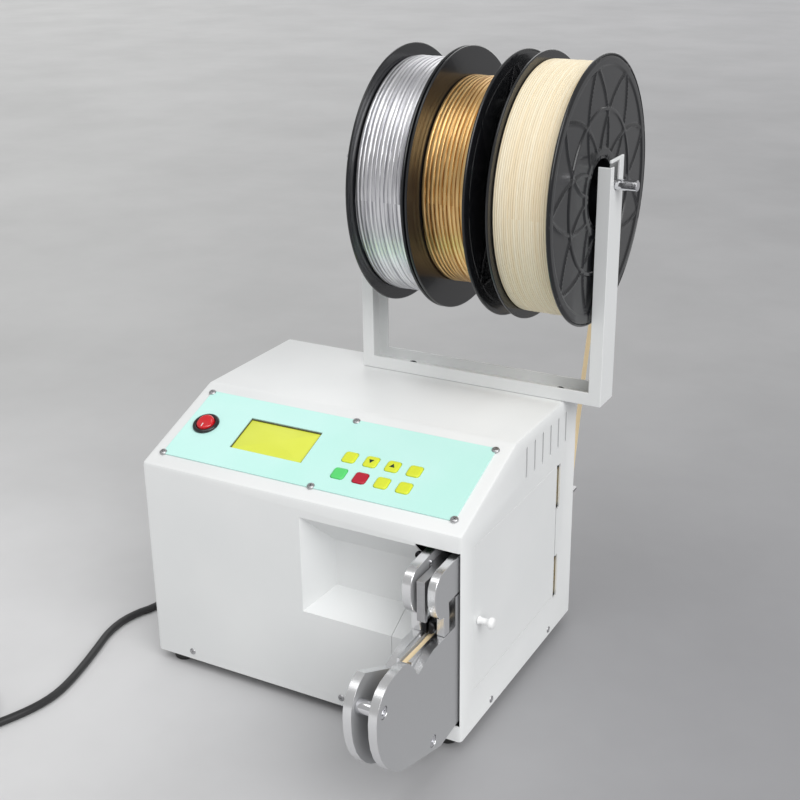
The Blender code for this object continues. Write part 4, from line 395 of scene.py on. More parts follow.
def brushed_steel():
    made = Finish("brushed_steel", (0.50, 0.50, 0.51), 0.35, 1.0)
    lines = made.noise(900, 3, 0.6, made.spot((0.06, 1, 1)))
    made.set("Base Color", made.mix(lines, (0.44, 0.44, 0.45), (0.56, 0.56, 0.57)))
    made.set("Roughness", 0.26 + lines * 0.2)
    return made.relief(lines, 0.00002, 0.4).material


def polished(name, colour, roughness=0.14):
    """Bright metal with faint wear: a noise raises the roughness here and there."""
    made = Finish(name, colour, roughness, 1.0)
    wear = made.noise(160, 4, 0.6)
    made.set("Roughness", roughness + wear.step(0.45, 0.8) * 0.16)
    return made.relief(made.noise(500, 2), 0.00001, 0.2).material


def blackened_steel():
    made = Finish("blackened_steel", (0.03, 0.03, 0.032), 0.35, 0.9)
    made.set("Roughness", 0.28 + made.noise(300, 3) * 0.2)
    return made.material


# %% [markdown]
# Plastics and rubber differ mostly in gloss. Moulded gloss plastic mirrors the room softly, rubber
# scatters it, and both show a fine texture when seen close.

# %% Plastics, rubber and paper
def moulded(name, colour, roughness, height=0.00003, scale=700, coat=0.0):
    made = Finish(name, colour, roughness, coat_weight=coat, coat_roughness=0.05)
    fine, broad = made.noise(scale, 2), made.noise(40, 3)
    made.set("Base Color", made.mix(broad, colour, tuple(min(1, c * 1.25 + 0.002) for c in colour)))
    made.set("Roughness", roughness * 0.85 + broad * roughness * 0.3)
    return made.relief(fine, height, 0.4).material


DOT_PITCH = 0.00055


def display_glass():
    """The lit yellow-green display: an even field with the faintest grid of dots, under glass."""
    made = Finish("display_glass", (0.76, 0.82, 0.075), 0.30, coat_weight=0.6, coat_roughness=0.04)
    along = made.axis(made.spot(), 0)
    rows = (along * (2 * math.pi / DOT_PITCH)).math("SINE") * 0.5 + 0.5
    field = made.mix(made.noise(25, 2).step(0.25, 0.75), (0.74, 0.80, 0.065), (0.79, 0.85, 0.09))
    made.set("Base Color", made.mix(rows * 0.06, field, (0.50, 0.56, 0.05)))
    return made.material


FINISH = {
    "white_paint": powder_coat(),
    "fascia_film": printed_film(),
    "display": display_glass(),
    "black_gloss": moulded("switch_black", (0.010, 0.010, 0.011), 0.20, coat=0.3),
    "red_gloss": moulded("switch_red", (0.55, 0.006, 0.012), 0.16, coat=0.6),
    "key_yellow": film_ink("key_yellow", (0.76, 0.84, 0.04)),
    "key_green": film_ink("key_green", (0.11, 0.72, 0.18)),
    "key_red": film_ink("key_red", (0.50, 0.007, 0.03)),
    "aluminium": milled_aluminium(),
    "steel": brushed_steel(),
    "chrome": polished("chrome", (0.78, 0.78, 0.80), 0.10),
    "rubber": moulded("black_rubber", (0.018, 0.018, 0.018), 0.75, 0.00008, 500),
    "spool_plastic": moulded("spool_plastic", (0.007, 0.0075, 0.009), 0.22, 0.00001, 260, 0.15),
    "brass": polished("brass", (0.62, 0.48, 0.22), 0.22),
    "board_green": moulded("board_green", (0.02, 0.16, 0.06), 0.45),
    "motor_black": moulded("motor_black", (0.03, 0.03, 0.032), 0.45),
    "cord_rubber": moulded("cord_rubber", (0.014, 0.014, 0.015), 0.42, 0.00003, 900),
    "black_steel": blackened_steel(),
    "ink": film_ink("legend_ink", (0.01, 0.03, 0.02)),
    "white_ink": film_ink("white_ink", (0.8, 0.8, 0.8)),
    # Dark olive, partly a gasket's colour and partly painted shade for the display window's upper wall.
    "seal_and_painted_shade": moulded("display_seal_and_painted_shade", (0.055, 0.06, 0.012), 0.5),
    "white_plastic": moulded("white_plastic", (0.80, 0.81, 0.81), 0.30, coat=0.2),
    "olive_grey": polished("hinge_plate", (0.55, 0.55, 0.46), 0.35),
}
print(len(FINISH), "finishes")

# %% [markdown]
# The ribbons on the spools are finishes of their own. Foil is a mirror that was pulled, twisted
# and pressed: fine wrinkles run along the ribbon, so the bump is a noise stretched along the
# winding's own UV map, whose first axis runs round the spool. The paper one is a soft cream tape
# whose layers differ a little in tone.

# %% Foil and paper ribbons
FOIL_PITCH, PAPER_PITCH = 0.0037, 0.0018


def foil(name, colour, dark, pitch):
    """Mirror foil: the tone changes from turn to turn and along each turn."""
    made = Finish(name, colour, 0.2, 1.0)
    streak = made.noise(1, 4, 0.6, made.unwrap((22, 900, 1)))
    turns = made.noise(1, 2, 0.5, made.unwrap((3, 1 / pitch, 1)))
    crinkle = made.noise(1, 3, 0.55, made.unwrap((120, 700, 1)))
    band = made.noise(1, 3, 0.6, made.unwrap((9, 160, 1)))
    darker = streak.step(0.40, 0.70) * 0.45 + turns.step(0.35, 0.75) * 0.35 + band.step(0.5, 0.7) * 0.4
    made.set("Base Color", made.mix(darker, colour, dark))
    made.set("Roughness", 0.22 + crinkle * 0.16 + turns * 0.10)
    return made.relief(streak * 0.6 + crinkle * 0.4, 0.0007, 0.35).material


def paper(name, pitch):
    """Cream paper tape: fibres along it, and each turn a little lighter or darker."""
    made = Finish(name, (0.86, 0.72, 0.46), 0.62)
    fibre = made.noise(1, 4, 0.65, made.unwrap((90, 2600, 1)))
    turns = made.noise(1, 2, 0.5, made.unwrap((5, 0.7 / pitch, 1)))
    tone = made.mix(turns.step(0.25, 0.75), (0.88, 0.76, 0.54), (0.95, 0.88, 0.70))
    made.set("Base Color", made.mix(fibre.step(0.3, 0.8) * 0.35, tone, (0.76, 0.61, 0.38)))
    made.set("Roughness", 0.55 + fibre * 0.2)
    return made.relief(fibre, 0.0002, 0.35).material


FINISH["silver_foil"] = foil("silver_foil", (0.90, 0.90, 0.92), (0.30, 0.30, 0.34), FOIL_PITCH)
FINISH["gold_foil"] = foil("gold_foil", (0.95, 0.66, 0.30), (0.40, 0.17, 0.035), FOIL_PITCH)
FINISH["cream_paper"] = paper("cream_paper", PAPER_PITCH)
FINISH["tie_paper"] = moulded("tie_paper", (0.80, 0.64, 0.40), 0.6, 0.00006, 900)
for node, obj in frame["nodes"].items():
    for holder in obj.material_slots:
        holder.material = FINISH[SLOT_OF[node]]
print("CAD nodes repainted")

# %% [markdown]
# Folded and milled sheet parts already have the right shape in CAD, and lack only the tiny radius
# that makes a real edge catch the light. A copy of the node is merged, its flat facets are joined,
# and a Bevel modifier rounds what stays sharp.

# %% Plates with softened edges
FACET_ANGLE, CREASE_ANGLE, BEVEL_ANGLE = 0.6, 28, 32


def soften(node, edge, finish=None):
    """A copy of a CAD node that stands for it; its edges are rounded over that many millimetres."""
    mesh = frame["nodes"][node].data.copy()
    work = bmesh.new()
    work.from_mesh(mesh)
    bmesh.ops.remove_doubles(work, verts=work.verts, dist=2e-6)
    flat = math.radians(FACET_ANGLE)
    bmesh.ops.dissolve_limit(work, angle_limit=flat, verts=work.verts, edges=work.edges)
    work.to_mesh(mesh)
    work.free()
    for kept in [layer for layer in mesh.attributes if layer.name == "custom_normal"]:
        mesh.attributes.remove(kept)
    shade(mesh, CREASE_ANGLE)
    obj = bpy.data.objects.new(node + "_soft", mesh)
    bpy.context.scene.collection.objects.link(obj)
    if edge:
        bevel = obj.modifiers.new("edges", "BEVEL")
        bevel.width = edge * MM
        bevel.segments = 2
        bevel.limit_method = "ANGLE"
        bevel.angle_limit = math.radians(BEVEL_ANGLE)
        bevel.use_clamp_overlap = True
        bevel.harden_normals = True
    return adopt(obj, finish or FINISH[SLOT_OF[node]], BODY_OF[node], [node])


for node, edge in {
    "lower_arm_left": 0.7, "lower_arm_right": 0.7, "jaw_left": 0.8, "jaw_right": 0.8,
    "spool_bracket": 0.5, "side_door": 0.25, "throat_plate": 0.2, "fascia_plate": 0.2,
    "jaw_slide": 0.3, "ribbon_channel": 0.3, "main_cover": 0,
}.items():
    soften(node, edge)
print("plates softened")

# %% [markdown]
# The mains lead's length is real: the free stretch leaves the gland, lies on the bench, and its
# unseen rest is put away in a coil. The same points as in the CAD model carry a round curve, so the
# two lie in the same place.

# %% The mains lead
CORD_D = 7.0
FLOOR_Z = -10.0
LEAD = [
    (-118, 275, 20.5), (-121, 292, 14), (-136, 306, 4), (-157, 307, -4), (-177, 294, -6.5),
    (-190, 268, -6.5), (-197, 230, -6.5), (-200, 185, -6.5), (-201, 140, -6.5), (-202, 100, -6.5),
    (-205.3, 65, -6.5), (-212.5, 46.5, -6.5), (-216, 27.6, -6.5), (-214, 6, -6.5), (-207.2, -17, -6.5),
    (-199.9, -41.6, -6.5), (-193.5, -67, -6.5), (-190.5, -87, -6.5), (-191.2, -104, -6.5),
    (-195.5, -122, -6.5), (-203.5, -143, -6.3), (-210.5, -159, -5.5),
]


def smooth_route(points, step):
    """A Catmull-Rom curve through the points, sampled at an even step along it."""
    points = np.asarray(points, float)
    ends = np.vstack([2 * points[0] - points[1], points, 2 * points[-1] - points[-2]])
    t = np.linspace(0, 1, 24, endpoint=False)[None, :, None]
    a, b, c, d = (ends[i : len(ends) - 3 + i, None] for i in range(4))
    spans = (2 * b + (c - a) * t + (2 * a - 5 * b + 4 * c - d) * t**2 + (3 * b - a - 3 * c + d) * t**3) / 2
    dense = np.vstack([spans.reshape(-1, 3), points[-1:]])
    along = np.concatenate([[0], np.cumsum(np.linalg.norm(np.diff(dense, axis=0), axis=1))])
    stations = np.linspace(0, along[-1], max(2, round(along[-1] / step) + 1))
    return np.stack([np.interp(stations, along, dense[:, i]) for i in range(3)], axis=1)


def coil_line(centre, outer, spacing, turns, end_turn, start_angle, low, high, lead_out):
    """Two layers: the radius falls by one spacing a turn, then grows again; the height climbs in
    the half turn where it reverses. Straight ends go out along the tangents."""
    turn = np.linspace(0, end_turn, round(end_turn * 24) + 1)
    radius = outer - spacing * (turns - np.abs(turn - turns))
    rise = np.clip((turn - turns) / 0.5 + 0.5, 0, 1)
    height = low + (high - low) * rise**2 * (3 - 2 * rise)
    angle = math.radians(start_angle) - 2 * math.pi * turn
    line = np.stack([centre[0] + radius * np.cos(angle), centre[1] + radius * np.sin(angle), height], axis=1)
    heading = np.stack([np.sin(angle), -np.cos(angle), np.zeros_like(angle)], axis=1)
    return np.vstack([line[0] - heading[0] * CORD_D, line, line[-1] + heading[-1] * lead_out])


coil = coil_line(
    centre=(-261, -159), outer=46, spacing=7.5, turns=2, end_turn=4.176,
    start_angle=-26.7, low=-5.0, high=2.5, lead_out=24,
)
gland_tip = np.array([-118, 259.8, 22])
into_coil = coil[0] - (coil[1] - coil[0]) / np.linalg.norm(coil[1] - coil[0]) * CORD_D
free = smooth_route([gland_tip + [0, CORD_D, 0], *LEAD, into_coil], 8)
lead_points = np.vstack([gland_tip, free, coil])

# %% The lead as a round curve
def round_curve(name, points, radius, finish, body, nodes):
    """A polyline with a round bevel, at the points' place."""
    data = bpy.data.curves.new(name, "CURVE")
    data.dimensions = "3D"
    data.bevel_depth = radius * MM
    data.bevel_resolution = 4
    data.use_fill_caps = True
    line = data.splines.new("POLY")
    line.points.add(len(points) - 1)
    line.points.foreach_set("co", np.hstack([place(points), np.ones((len(points), 1))]).ravel())
    obj = bpy.data.objects.new(name, data)
    bpy.context.scene.collection.objects.link(obj)
    line.use_smooth = True
    return adopt(obj, finish, body, nodes)


LEAD_NODES = ["power_cord", "cord_coil"]
lead = round_curve("mains_lead", lead_points, CORD_D / 2, FINISH["cord_rubber"], "housing", LEAD_NODES)
plug = soften("mains_plug", 0.6, FINISH["motor_black"])
tie = soften("cord_tie", 0.3, FINISH["motor_black"])

# %% [markdown]
# The floor is one large pale plane. Its colour carries painted light: lighter on the left, the lit
# side, and darker on the right, spread differently near the machine, further back and far away,
# and a large noise mottles it.

# %% The floor, the lamps and the world
def backdrop():
    """Across and depth are metres to the right of and beyond the machine, as the camera sees it."""
    made = Finish("backdrop", (0.45, 0.45, 0.45), 0.9)
    turned = made.spot(turn=(0, 0, math.radians(-28.8)))
    across, depth = made.axis(turned, 0), made.axis(turned, 1)
    cloud = made.noise(2.6, 5, 0.62).step(0.2, 0.8)
    # Painted light: the floor is lighter on the left and darker on the right, near, further back and far
    # away.
    near = made.mix(across.step(-0.34, 0.27), (0.64, 0.64, 0.645), (0.305, 0.305, 0.317))
    far = made.mix(across.step(-1.0, 1.0), (0.49, 0.492, 0.49), (0.345, 0.345, 0.352))
    wall = made.mix(across.step(-2.5, 2.5), (0.55, 0.552, 0.55), (0.41, 0.41, 0.42))
    tone = made.mix(depth.step(1.4, 5.5), made.mix(depth.step(-0.05, 0.9), near, far), wall)
    lighter = made.mix(cloud, (0.93, 0.93, 0.93), (1.07, 1.07, 1.07))
    multiply = {"data_type": "RGBA", "blend_type": "MULTIPLY"}
    mottled = made.node("ShaderNodeMix", multiply, {0: 1.0, 6: tone, 7: lighter}, output=2)
    made.set("Base Color", mottled)
    return made.material


def add_floor(size=14.0):
    """A square on the bench level."""
    half = size / 2
    level = DATUM[2] + FLOOR_Z * MM
    mesh = bpy.data.meshes.new("bench_top")
    corners = [(-half, -half, level), (half, -half, level), (half, half, level), (-half, half, level)]
    mesh.from_pydata(corners, [], [(0, 1, 2, 3)])
    mesh.materials.append(backdrop())
    floor = bpy.data.objects.new("bench_top", mesh)
    bpy.context.scene.collection.objects.link(floor)


def add_light(name, direction, power, spread):
    """A very large, very soft source far away in that direction; spread is its width in degrees."""
    data = bpy.data.lights.new(name, "SUN")
    data.energy = power
    data.angle = math.radians(spread)
    lamp = bpy.data.objects.new(name, data)
    lamp.location = Vector(direction) * 3
    lamp.rotation_euler = Vector(direction).to_track_quat("Z", "Y").to_euler()
    bpy.context.scene.collection.objects.link(lamp)


def light_world(strength):
    """An even grey room."""
    world = bpy.data.worlds.new("room")
    world.use_nodes = True
    room = world.node_tree.nodes["Background"]
    room.inputs["Color"].default_value = (1, 1, 1, 1)
    room.inputs["Strength"].default_value = strength
    bpy.context.scene.world = world


add_floor()
light_world(0.44)
add_light("softbox", (0.66, -0.40, 0.58), 1.95, 50)
add_light("ceiling", (-0.10, -0.35, 1.0), 0.62, 40)
add_light("back_light", (-0.25, 0.85, 0.42), 0.55, 50)
bpy.context.scene.view_settings.view_transform = "Standard"
print("stage set")

# %% [markdown]
# ## Heads, domes and faces
#
# Screw heads, keys and buttons are all low domes over an outline: rings of the outline shrink to
# its middle while the height rises as H · (1 − s^p)^q. A screw's drive is then sunk into the dome.
# Each dome is drawn flat and turned onto the face of the machine where it sits.

# %% Domes over an outline
FACES = {
    "panel": PANEL,
    "right": np.array([[0, 1, 0], [0, 0, 1], [1, 0, 0]]),
    "left": np.array([[0, -1, 0], [0, 0, 1], [-1, 0, 0]]),
    "front": np.array([[1, 0, 0], [0, 0, 1], [0, -1, 0]]),
    "back": np.array([[-1, 0, 0], [0, 0, 1], [0, 1, 0]]),
    "up": np.eye(3),
}


def face_on(face, grid, spot):
    """Flat (a, b, height) points turned onto a face; spot is the middle, in datum millimetres."""
    return grid @ FACES[face] + np.asarray(spot, float)


def ring(radius, sides=64):
    turn = np.linspace(0, 2 * math.pi, sides, endpoint=False)
    return radius * np.stack([np.cos(turn), np.sin(turn)], axis=1)


def dome(outline, height, power=5.0, bend=0.5, rings=22, skirt=0.6):
    """Height · (1 − s^power)^bend over the outline shrunk by s, closed below by a skirt."""
    outline = np.asarray(outline, float)
    share = np.concatenate([[0], np.linspace(0.06, 1, rings) ** 0.6, [1, 0]])
    level = height * np.clip(1 - share**power, 0, 1) ** bend
    level[-2:] = -skirt
    flat = outline[None] * share[:, None, None]
    return np.concatenate([flat, np.broadcast_to(level[:, None, None], flat.shape[:2] + (1,))], axis=2)


def sink(grid, kind, size, depth, spin=0.0):
    """The drive of a screw: a cross or a six-sided socket pressed into the dome."""
    cos, sin = math.cos(spin), math.sin(spin)
    a, b = grid[..., 0] * cos + grid[..., 1] * sin, grid[..., 1] * cos - grid[..., 0] * sin
    soft = size * 0.12
    if kind == "hex":
        sides = (0, math.pi / 3, -math.pi / 3)
        wide = np.max([np.abs(a * math.cos(t) + b * math.sin(t)) for t in sides], axis=0)
        press = np.clip((size - wide) / soft, 0, 1)
    else:
        narrow, wide = (np.clip((size * share - np.abs([a, b])) / soft, 0, 1) for share in (0.2, 1))
        press = np.max(narrow * wide[::-1], axis=0)
    upper = grid[..., 2] >= 0
    grid[..., 2] -= np.where(upper, press * depth, 0)
    return grid


def screws(name, places, finish, kind="cross", radius=3.3, height=1.3, size=1.9, depth=0.9):
    """Many heads of one kind as one piece on the housing; each has its own spin."""
    grids = []
    for count, (face, spot) in enumerate(places):
        head = sink(dome(ring(radius, 96), height, 4.0, 0.55, 40), kind, size, depth, 0.5 + count * 1.9)
        grids.append((face_on(face, head, spot), False, True))
    return piece(name, grids, finish, "housing", slot="steel", angle=40)


print("faces:", ", ".join(FACES))

# %% [markdown]
# ## The key panel
#
# The keys are soft square pillows, and the two that move a value carry a triangle. The display sits
# a little below the printed film; a dark strip along its upper edge and down its sides is partly a
# gasket and partly painted shade for the shadow of the window's upper wall.

# %% Keys, triangles, display and screws
KEY_U = [55.005 + 19.7 * step for step in (-1.5, -0.5, 0.5, 1.5)]
KEY_V = [53.2, 34.1]
FILM_N = 1.3
KEY_HALF, KEY_CORNER, KEY_RISE, KEY_SKIRT = 5.95, 2.6, 1.15, 4.5
KEY_TOP = FILM_N + 1.08


for row, v in enumerate(KEY_V):
    for column, u in enumerate(KEY_U):
        node = f"key_{row + 1}_{column + 1}"
        outline = rounded_box(KEY_HALF, KEY_HALF, KEY_CORNER, count=8)
        pillow = dome(outline, KEY_RISE, 7.0, 0.55, 26, KEY_SKIRT)
        grid = face_on("panel", pillow, on_panel([u, v, FILM_N - 0.05]))
        piece(f"{node}_cap", [(grid, False, True)], FINISH[SLOT_OF[node]], BODY_OF[node], [node], angle=60)


def mark(name, outlines, spots, finish, body, height=0.08):
    """Thin printed shapes: each outline is a flat slab a hair above the panel."""
    grids = []
    for outline, spot in zip(outlines, spots):
        grids.append((face_on("panel", slab(outline, -0.3, height, 0.02), on_panel(spot)), False, True))
    return piece(name, grids, finish, body, slot="black_gloss", angle=50)


up = np.array([(-2.4, -1.7), (2.4, -1.7), (0, 2.4)])
mark("key_mark_down", [-up], [(KEY_U[1], KEY_V[0], KEY_TOP)], FINISH["ink"], "body_key_1_2")
mark("key_mark_up", [up], [(KEY_U[2], KEY_V[0], KEY_TOP)], FINISH["ink"], "body_key_1_3")
DISPLAY_U, DISPLAY_V = -47.36, 54.85
glass = slab(rounded_box(35.0, 18.2, 0.8), -3.0, -0.25, 0.3)
glass = face_on("panel", glass, on_panel([DISPLAY_U, DISPLAY_V, 0]))
piece("display_face", [(glass, False, True)], FINISH["display"], "housing", slot="display")
# Painted shade: dark strips along the display's upper edge and sides, partly a gasket and partly standing in
# for the shadow of the window's upper wall.
seal_and_shade_strips = [rounded_box(35.15, 0.6, 0.3), rounded_box(0.35, 18.3, 0.3), rounded_box(0.35, 18.3, 0.3)]
spots = [(DISPLAY_U, 72.6, 0), (-82.2, DISPLAY_V, 0), (-12.5, DISPLAY_V, 0)]
mark("display_seal_and_painted_shade", seal_and_shade_strips, spots, FINISH["seal_and_painted_shade"], "housing", 0.35)
corners = [(u, v) for u in (-137, 137) for v in (15, 93.5)] + [(9.7, 15), (9.7, 94)]
screws("panel_screws", [("panel", on_panel([u, v, FILM_N])) for u, v in corners], FINISH["steel"])
print("panel dressed")

# %% [markdown]
# The power switch is round. Its bezel is a glossy black ring, and the red rocker inside it is a disc
# with a dished face that tips about its own axis; the frame holds it tipped at rest.

# %% The power switch
SWITCH = on_panel([-118.905, 55.3, 0])
bezel = [
    (0, -5.5), (8.5, -5.5), (8.5, 3.0), (8.9, 3.6), (9.6, 3.8), (10.6, 3.75), (11.5, 3.2),
    (11.9, 2.2), (11.9, 1.6), (9.8, 1.6), (9.8, -19.5), (9.3, -20), (0, -20),
]
grid = lathe(rounded(bezel, 0.4), "Z", (0, 0, 0), 96) @ PANEL + SWITCH
piece("switch_bezel", [(grid, True, False)], FINISH["black_gloss"], "housing", ["switch_housing"])
REST_TIP = 7
tip = math.radians(REST_TIP)
TIPPED = np.array([[1, 0, 0], [0, math.cos(tip), math.sin(tip)], [0, -math.sin(tip), math.cos(tip)]])
pivot = np.array([0, 0, 3.0])
button = dome(ring(8.05, 96), 2.9, 9.0, 0.5, 30, 2.8)
button[..., 2] -= np.where(button[..., 2] > 0, 0.7 * np.exp(-((button[..., 1] / 3.2) ** 2)), 0)
grid = (button @ TIPPED + pivot) @ PANEL + SWITCH
piece("rocker_button", [(grid, False, True)], FINISH["red_gloss"], "rocker", ["power_rocker"], angle=60)
stroke = slab(rounded_box(0.45, 1.9, 0.4), 1.6, 2.9, 0.05) + [0, -4.4, 0]
grid = (stroke @ TIPPED + pivot) @ PANEL + SWITCH
piece("rocker_mark", [(grid, False, True)], FINISH["white_ink"], "rocker", slot="white_paint")
print("switch in place")

# %% [markdown]
# ## The right side and the feet
#
# The door's knob is turned from white plastic with a narrow neck. Each hinge barrel lies in a slot
# of the wall, with three knuckles and a pin, and the feet are rubber cups with rounded rims.

# %% Knob, hinges, feet and side screws
HINGE_X, HINGE_Y, HINGE_SPANS = 146.8, 191, {"lower": (37.6, 71.6), "upper": (126.1, 160.1)}
SMALL_SCREW = dict(radius=3.0, height=1.1, size=1.7, depth=0.8)
knob = [
    (0, 0), (3.6, 0), (3.5, 1.0), (2.7, 2.2), (2.6, 7.2), (3.4, 8.6), (4.7, 9.8), (4.8, 11.4),
    (4.2, 13.1), (2.6, 13.9), (0, 14),
]
grid = lathe(rounded(knob, 0.8), "X", (150.3, 30, 97), 64)
piece("knob", [(grid, True, False)], FINISH["white_plastic"], "door", ["door_knob"], angle=60)
for name, (low, top) in HINGE_SPANS.items():
    knuckles = []
    for count in range(3):
        start = low + (top - low) * count / 3 + 0.15
        end = low + (top - low) * (count + 1) / 3 - 0.15
        knuckle = [(0, start), (2.0, start), (2.35, start + 0.35), (2.35, end - 0.35), (2.0, end), (0, end)]
        knuckles.append((lathe(rounded(knuckle, 0.3), "Z", (HINGE_X, HINGE_Y, 0), 40), True, False))
    pin = [(0, low - 0.1), (1.1, low - 0.1), (1.1, top + 0.1), (0, top + 0.1)]
    knuckles.append((lathe(rounded(pin, 0.3), "Z", (HINGE_X, HINGE_Y, 0), 32), True, False))
    piece(f"hinge_{name}_barrel", knuckles, FINISH["olive_grey"], "housing", slot="brass", angle=40)
for end, y in (("front", 14), ("rear", 214)):
    for side, x in (("left", -132), ("right", 132)):
        foot = [(0, -10), (7.6, -10), (8.6, -9.4), (9.0, -8.2), (9.9, -1.6), (9.9, -0.3), (0, -0.3)]
        grid = lathe(rounded(foot, 0.6), "Z", (x, y, 0), 64)
        node = f"foot_{end}_{side}"
        piece(f"{node}_pad", [(grid, True, False)], FINISH["rubber"], "housing", [node], angle=50)
sides = (("right", 150), ("left", -150))
side_places = [(face, (x, y, z)) for face, x in sides for y, z in ((57, 6.5), (179, 6.0))]
screws("side_screws", side_places, FINISH["steel"], **SMALL_SCREW)
front_places = [("front", (x, 0, 7.6)) for x in (-112, 40)]
screws("front_screws", front_places, FINISH["steel"], **SMALL_SCREW)
rail_places = [("up", (-5.7, 215.9, 223.3)), ("up", (139.0, 215.4, 223.3))]
screws("rail_screws", rail_places, FINISH["black_steel"], "hex", 4.2, 2.4, 1.9, 1.4)
print("side dressed")

# %% [markdown]
# ## The tying head
#
# Two polished spacer rods hold the arm's plates apart, with six-sided sockets in their ends. Each
# rod is one turned profile, and a low dome with a sunk socket closes either end.

# %% The spacer rods
HEAD_X, ROD_END = 132.25, 13.0
for name, y, z in (("front", -114.4, 99.2), ("lower", -39.7, 26.625)):
    rod = [(5.6, -6.45), (5.6, 6.45), (4.0, 6.6), (4.0, 11.0), (4.75, 11.2), (4.8, 13.0)]
    profile = np.array([(4.8, -13.0), (4.75, -11.2), (4.0, -11.0), (4.0, -6.6)] + rod)
    grid = lathe(rounded(profile, 0.25), "X", (HEAD_X, y, z), 72)
    caps = [(grid, True, False)]
    for face, x in (("right", HEAD_X + ROD_END), ("left", HEAD_X - ROD_END)):
        cap = sink(dome(ring(4.8, 96), 0.45, 6.0, 0.5, 40, 0.0), "hex", 2.1, 1.8, 0.3)
        caps.append((face_on(face, cap, (x, y, z)), False, True))
    piece(f"rod_{name}", caps, FINISH["chrome"], "housing", [f"arm_rod_{name}"], angle=35)
print("rods in place")

# %% [markdown]
# The twist head is a short black barrel with a slot across its mouth, which catches the ends of
# the tie. Its CAD shape is right, so a copy with broken edges stands for it. The bright pins on the
# left jaw and the bolt beside the opening are low domes with a skirt.

# %% The twist head, the pins and the bolt
soften("twist_spindle", 0.3, FINISH["black_steel"])
pins = []
for y, z in ((-4.8, 159.9), (-19.1, 141.5)):
    pins.append((face_on("right", dome(ring(1.5, 40), 2.2, 6.0, 0.5, 16), (125.4, y, z)), False, True))
piece("jaw_pins", pins, FINISH["chrome"], "jaws", slot="chrome")
bolt = sink(dome(ring(3.0, 64), 2.6, 8.0, 0.5, 30), "hex", 1.5, 1.4, 0.4)
bolt = face_on("front", bolt, (114.2, -0.2, 160.5))
piece("opening_bolt", [(bolt, False, True)], FINISH["black_steel"], "housing", slot="steel")
print("twist head, pins and bolt in place")

# %% [markdown]
# The tie ribbon leaves the cream winding along a tangent, bends over the guide at the back, enters
# the housing, runs forward, turns round the arm's nose and lies in the groove up to the twist head.
# A flat section with a slight crown is swept along that route, which the CAD solid follows too.

# %% The tie ribbon
SPOOL_AT = (210.3, 400.8)
TIE_W, TIE_T, TIE_CROWN = 4.0, 0.5, 0.12
INLET_X, INLET_Y, INLET_Z = 142, 228, 100
GUIDE_Y, GUIDE_Z = 240.0, 119.0
RUN_Y, RUN_Z = 122, 52.55
NOSE_Y, NOSE_Z, NOSE_R = -59, 93.6, 10.2
GROOVE_Z = 103.4


def strap(points, width, thick, crown):
    """Half width across x and half thickness along the line's normal, for each corner in turn."""
    along = np.gradient(points, axis=0)
    along /= np.linalg.norm(along, axis=1, keepdims=True)
    across = np.array([1.0, 0, 0])
    rise = np.cross(across, along)
    rise /= np.linalg.norm(rise, axis=1, keepdims=True)
    half_w, half_t = width / 2, thick / 2
    left = [(-half_w, -half_t), (-half_w, half_t), (0, half_t + crown)]
    right = [(half_w, half_t), (half_w, -half_t), (0, crown - half_t)]
    return np.stack([points + across * a + rise * b for a, b in left + right], axis=1)


reach = 102 + 1.6
back, drop = GUIDE_Y - SPOOL_AT[0], SPOOL_AT[1] - GUIDE_Z
leave = math.acos(reach / math.hypot(back, drop)) - math.atan2(drop, back)
leave_y, leave_z = SPOOL_AT[0] + reach * math.cos(leave), SPOOL_AT[1] + reach * math.sin(leave)
route = [(INLET_X, leave_y, leave_z)]
for share in (0.2, 0.4, 0.6, 0.8):
    sag = 14 * share * (1 - share)
    fall = leave_z + (GUIDE_Z - leave_z) * share
    route.append((INLET_X, leave_y + (GUIDE_Y - leave_y) * share - sag, fall))
bend = (INLET_Y + (GUIDE_Y - INLET_Y) * 0.35, INLET_Z + (GUIDE_Z - INLET_Z) * 0.25)
route += [(INLET_X, GUIDE_Y, GUIDE_Z), (INLET_X, *bend), (INLET_X, INLET_Y, INLET_Z)]
for share in (0.25, 0.5, 0.75):
    ease = share**2 * (3 - 2 * share)
    x, y = INLET_X + (HEAD_X - INLET_X) * ease, INLET_Y + (RUN_Y - INLET_Y) * share
    route.append((x, y, INLET_Z + (RUN_Z - INLET_Z) * ease))
route += [(HEAD_X, y, RUN_Z) for y in (RUN_Y, 96, 78, 60, 0)]
route += [(HEAD_X, -24, RUN_Z + 4), (HEAD_X, NOSE_Y - NOSE_R, 77.85)]
for angle in np.radians((180, 150, 120, 90)):
    route.append((HEAD_X, NOSE_Y + NOSE_R * math.cos(angle), NOSE_Z + NOSE_R * math.sin(angle)))
route += [(HEAD_X, -30, GROOVE_Z), (HEAD_X, -14, GROOVE_Z + 1)]
line = smooth_route(route, 2.5)
ribbon = (strap(line, TIE_W, TIE_T, TIE_CROWN), False, True)
piece("tie_strip", [ribbon], FINISH["tie_paper"], "housing", ["tie_ribbon"], angle=50)
print("tie ribbon", round(np.linalg.norm(np.diff(line, axis=0), axis=1).sum()), "mm")

# %% [markdown]
# ## The spools
#
# Each spool is turned plastic: two thin flanges, a hub and a deep mouth with a web. Its outer faces
# carry shallow pockets between curved ribs. A lathe gives the rings, and the pockets are a formula
# on the polar grid: the surface sinks where no rib passes.

# %% Spool flanges with their ribbed pockets
SPOOL_W, SPOOL_SIDES = 52.0, 288
RIBS, RIB_TWIST = 9, 0.55


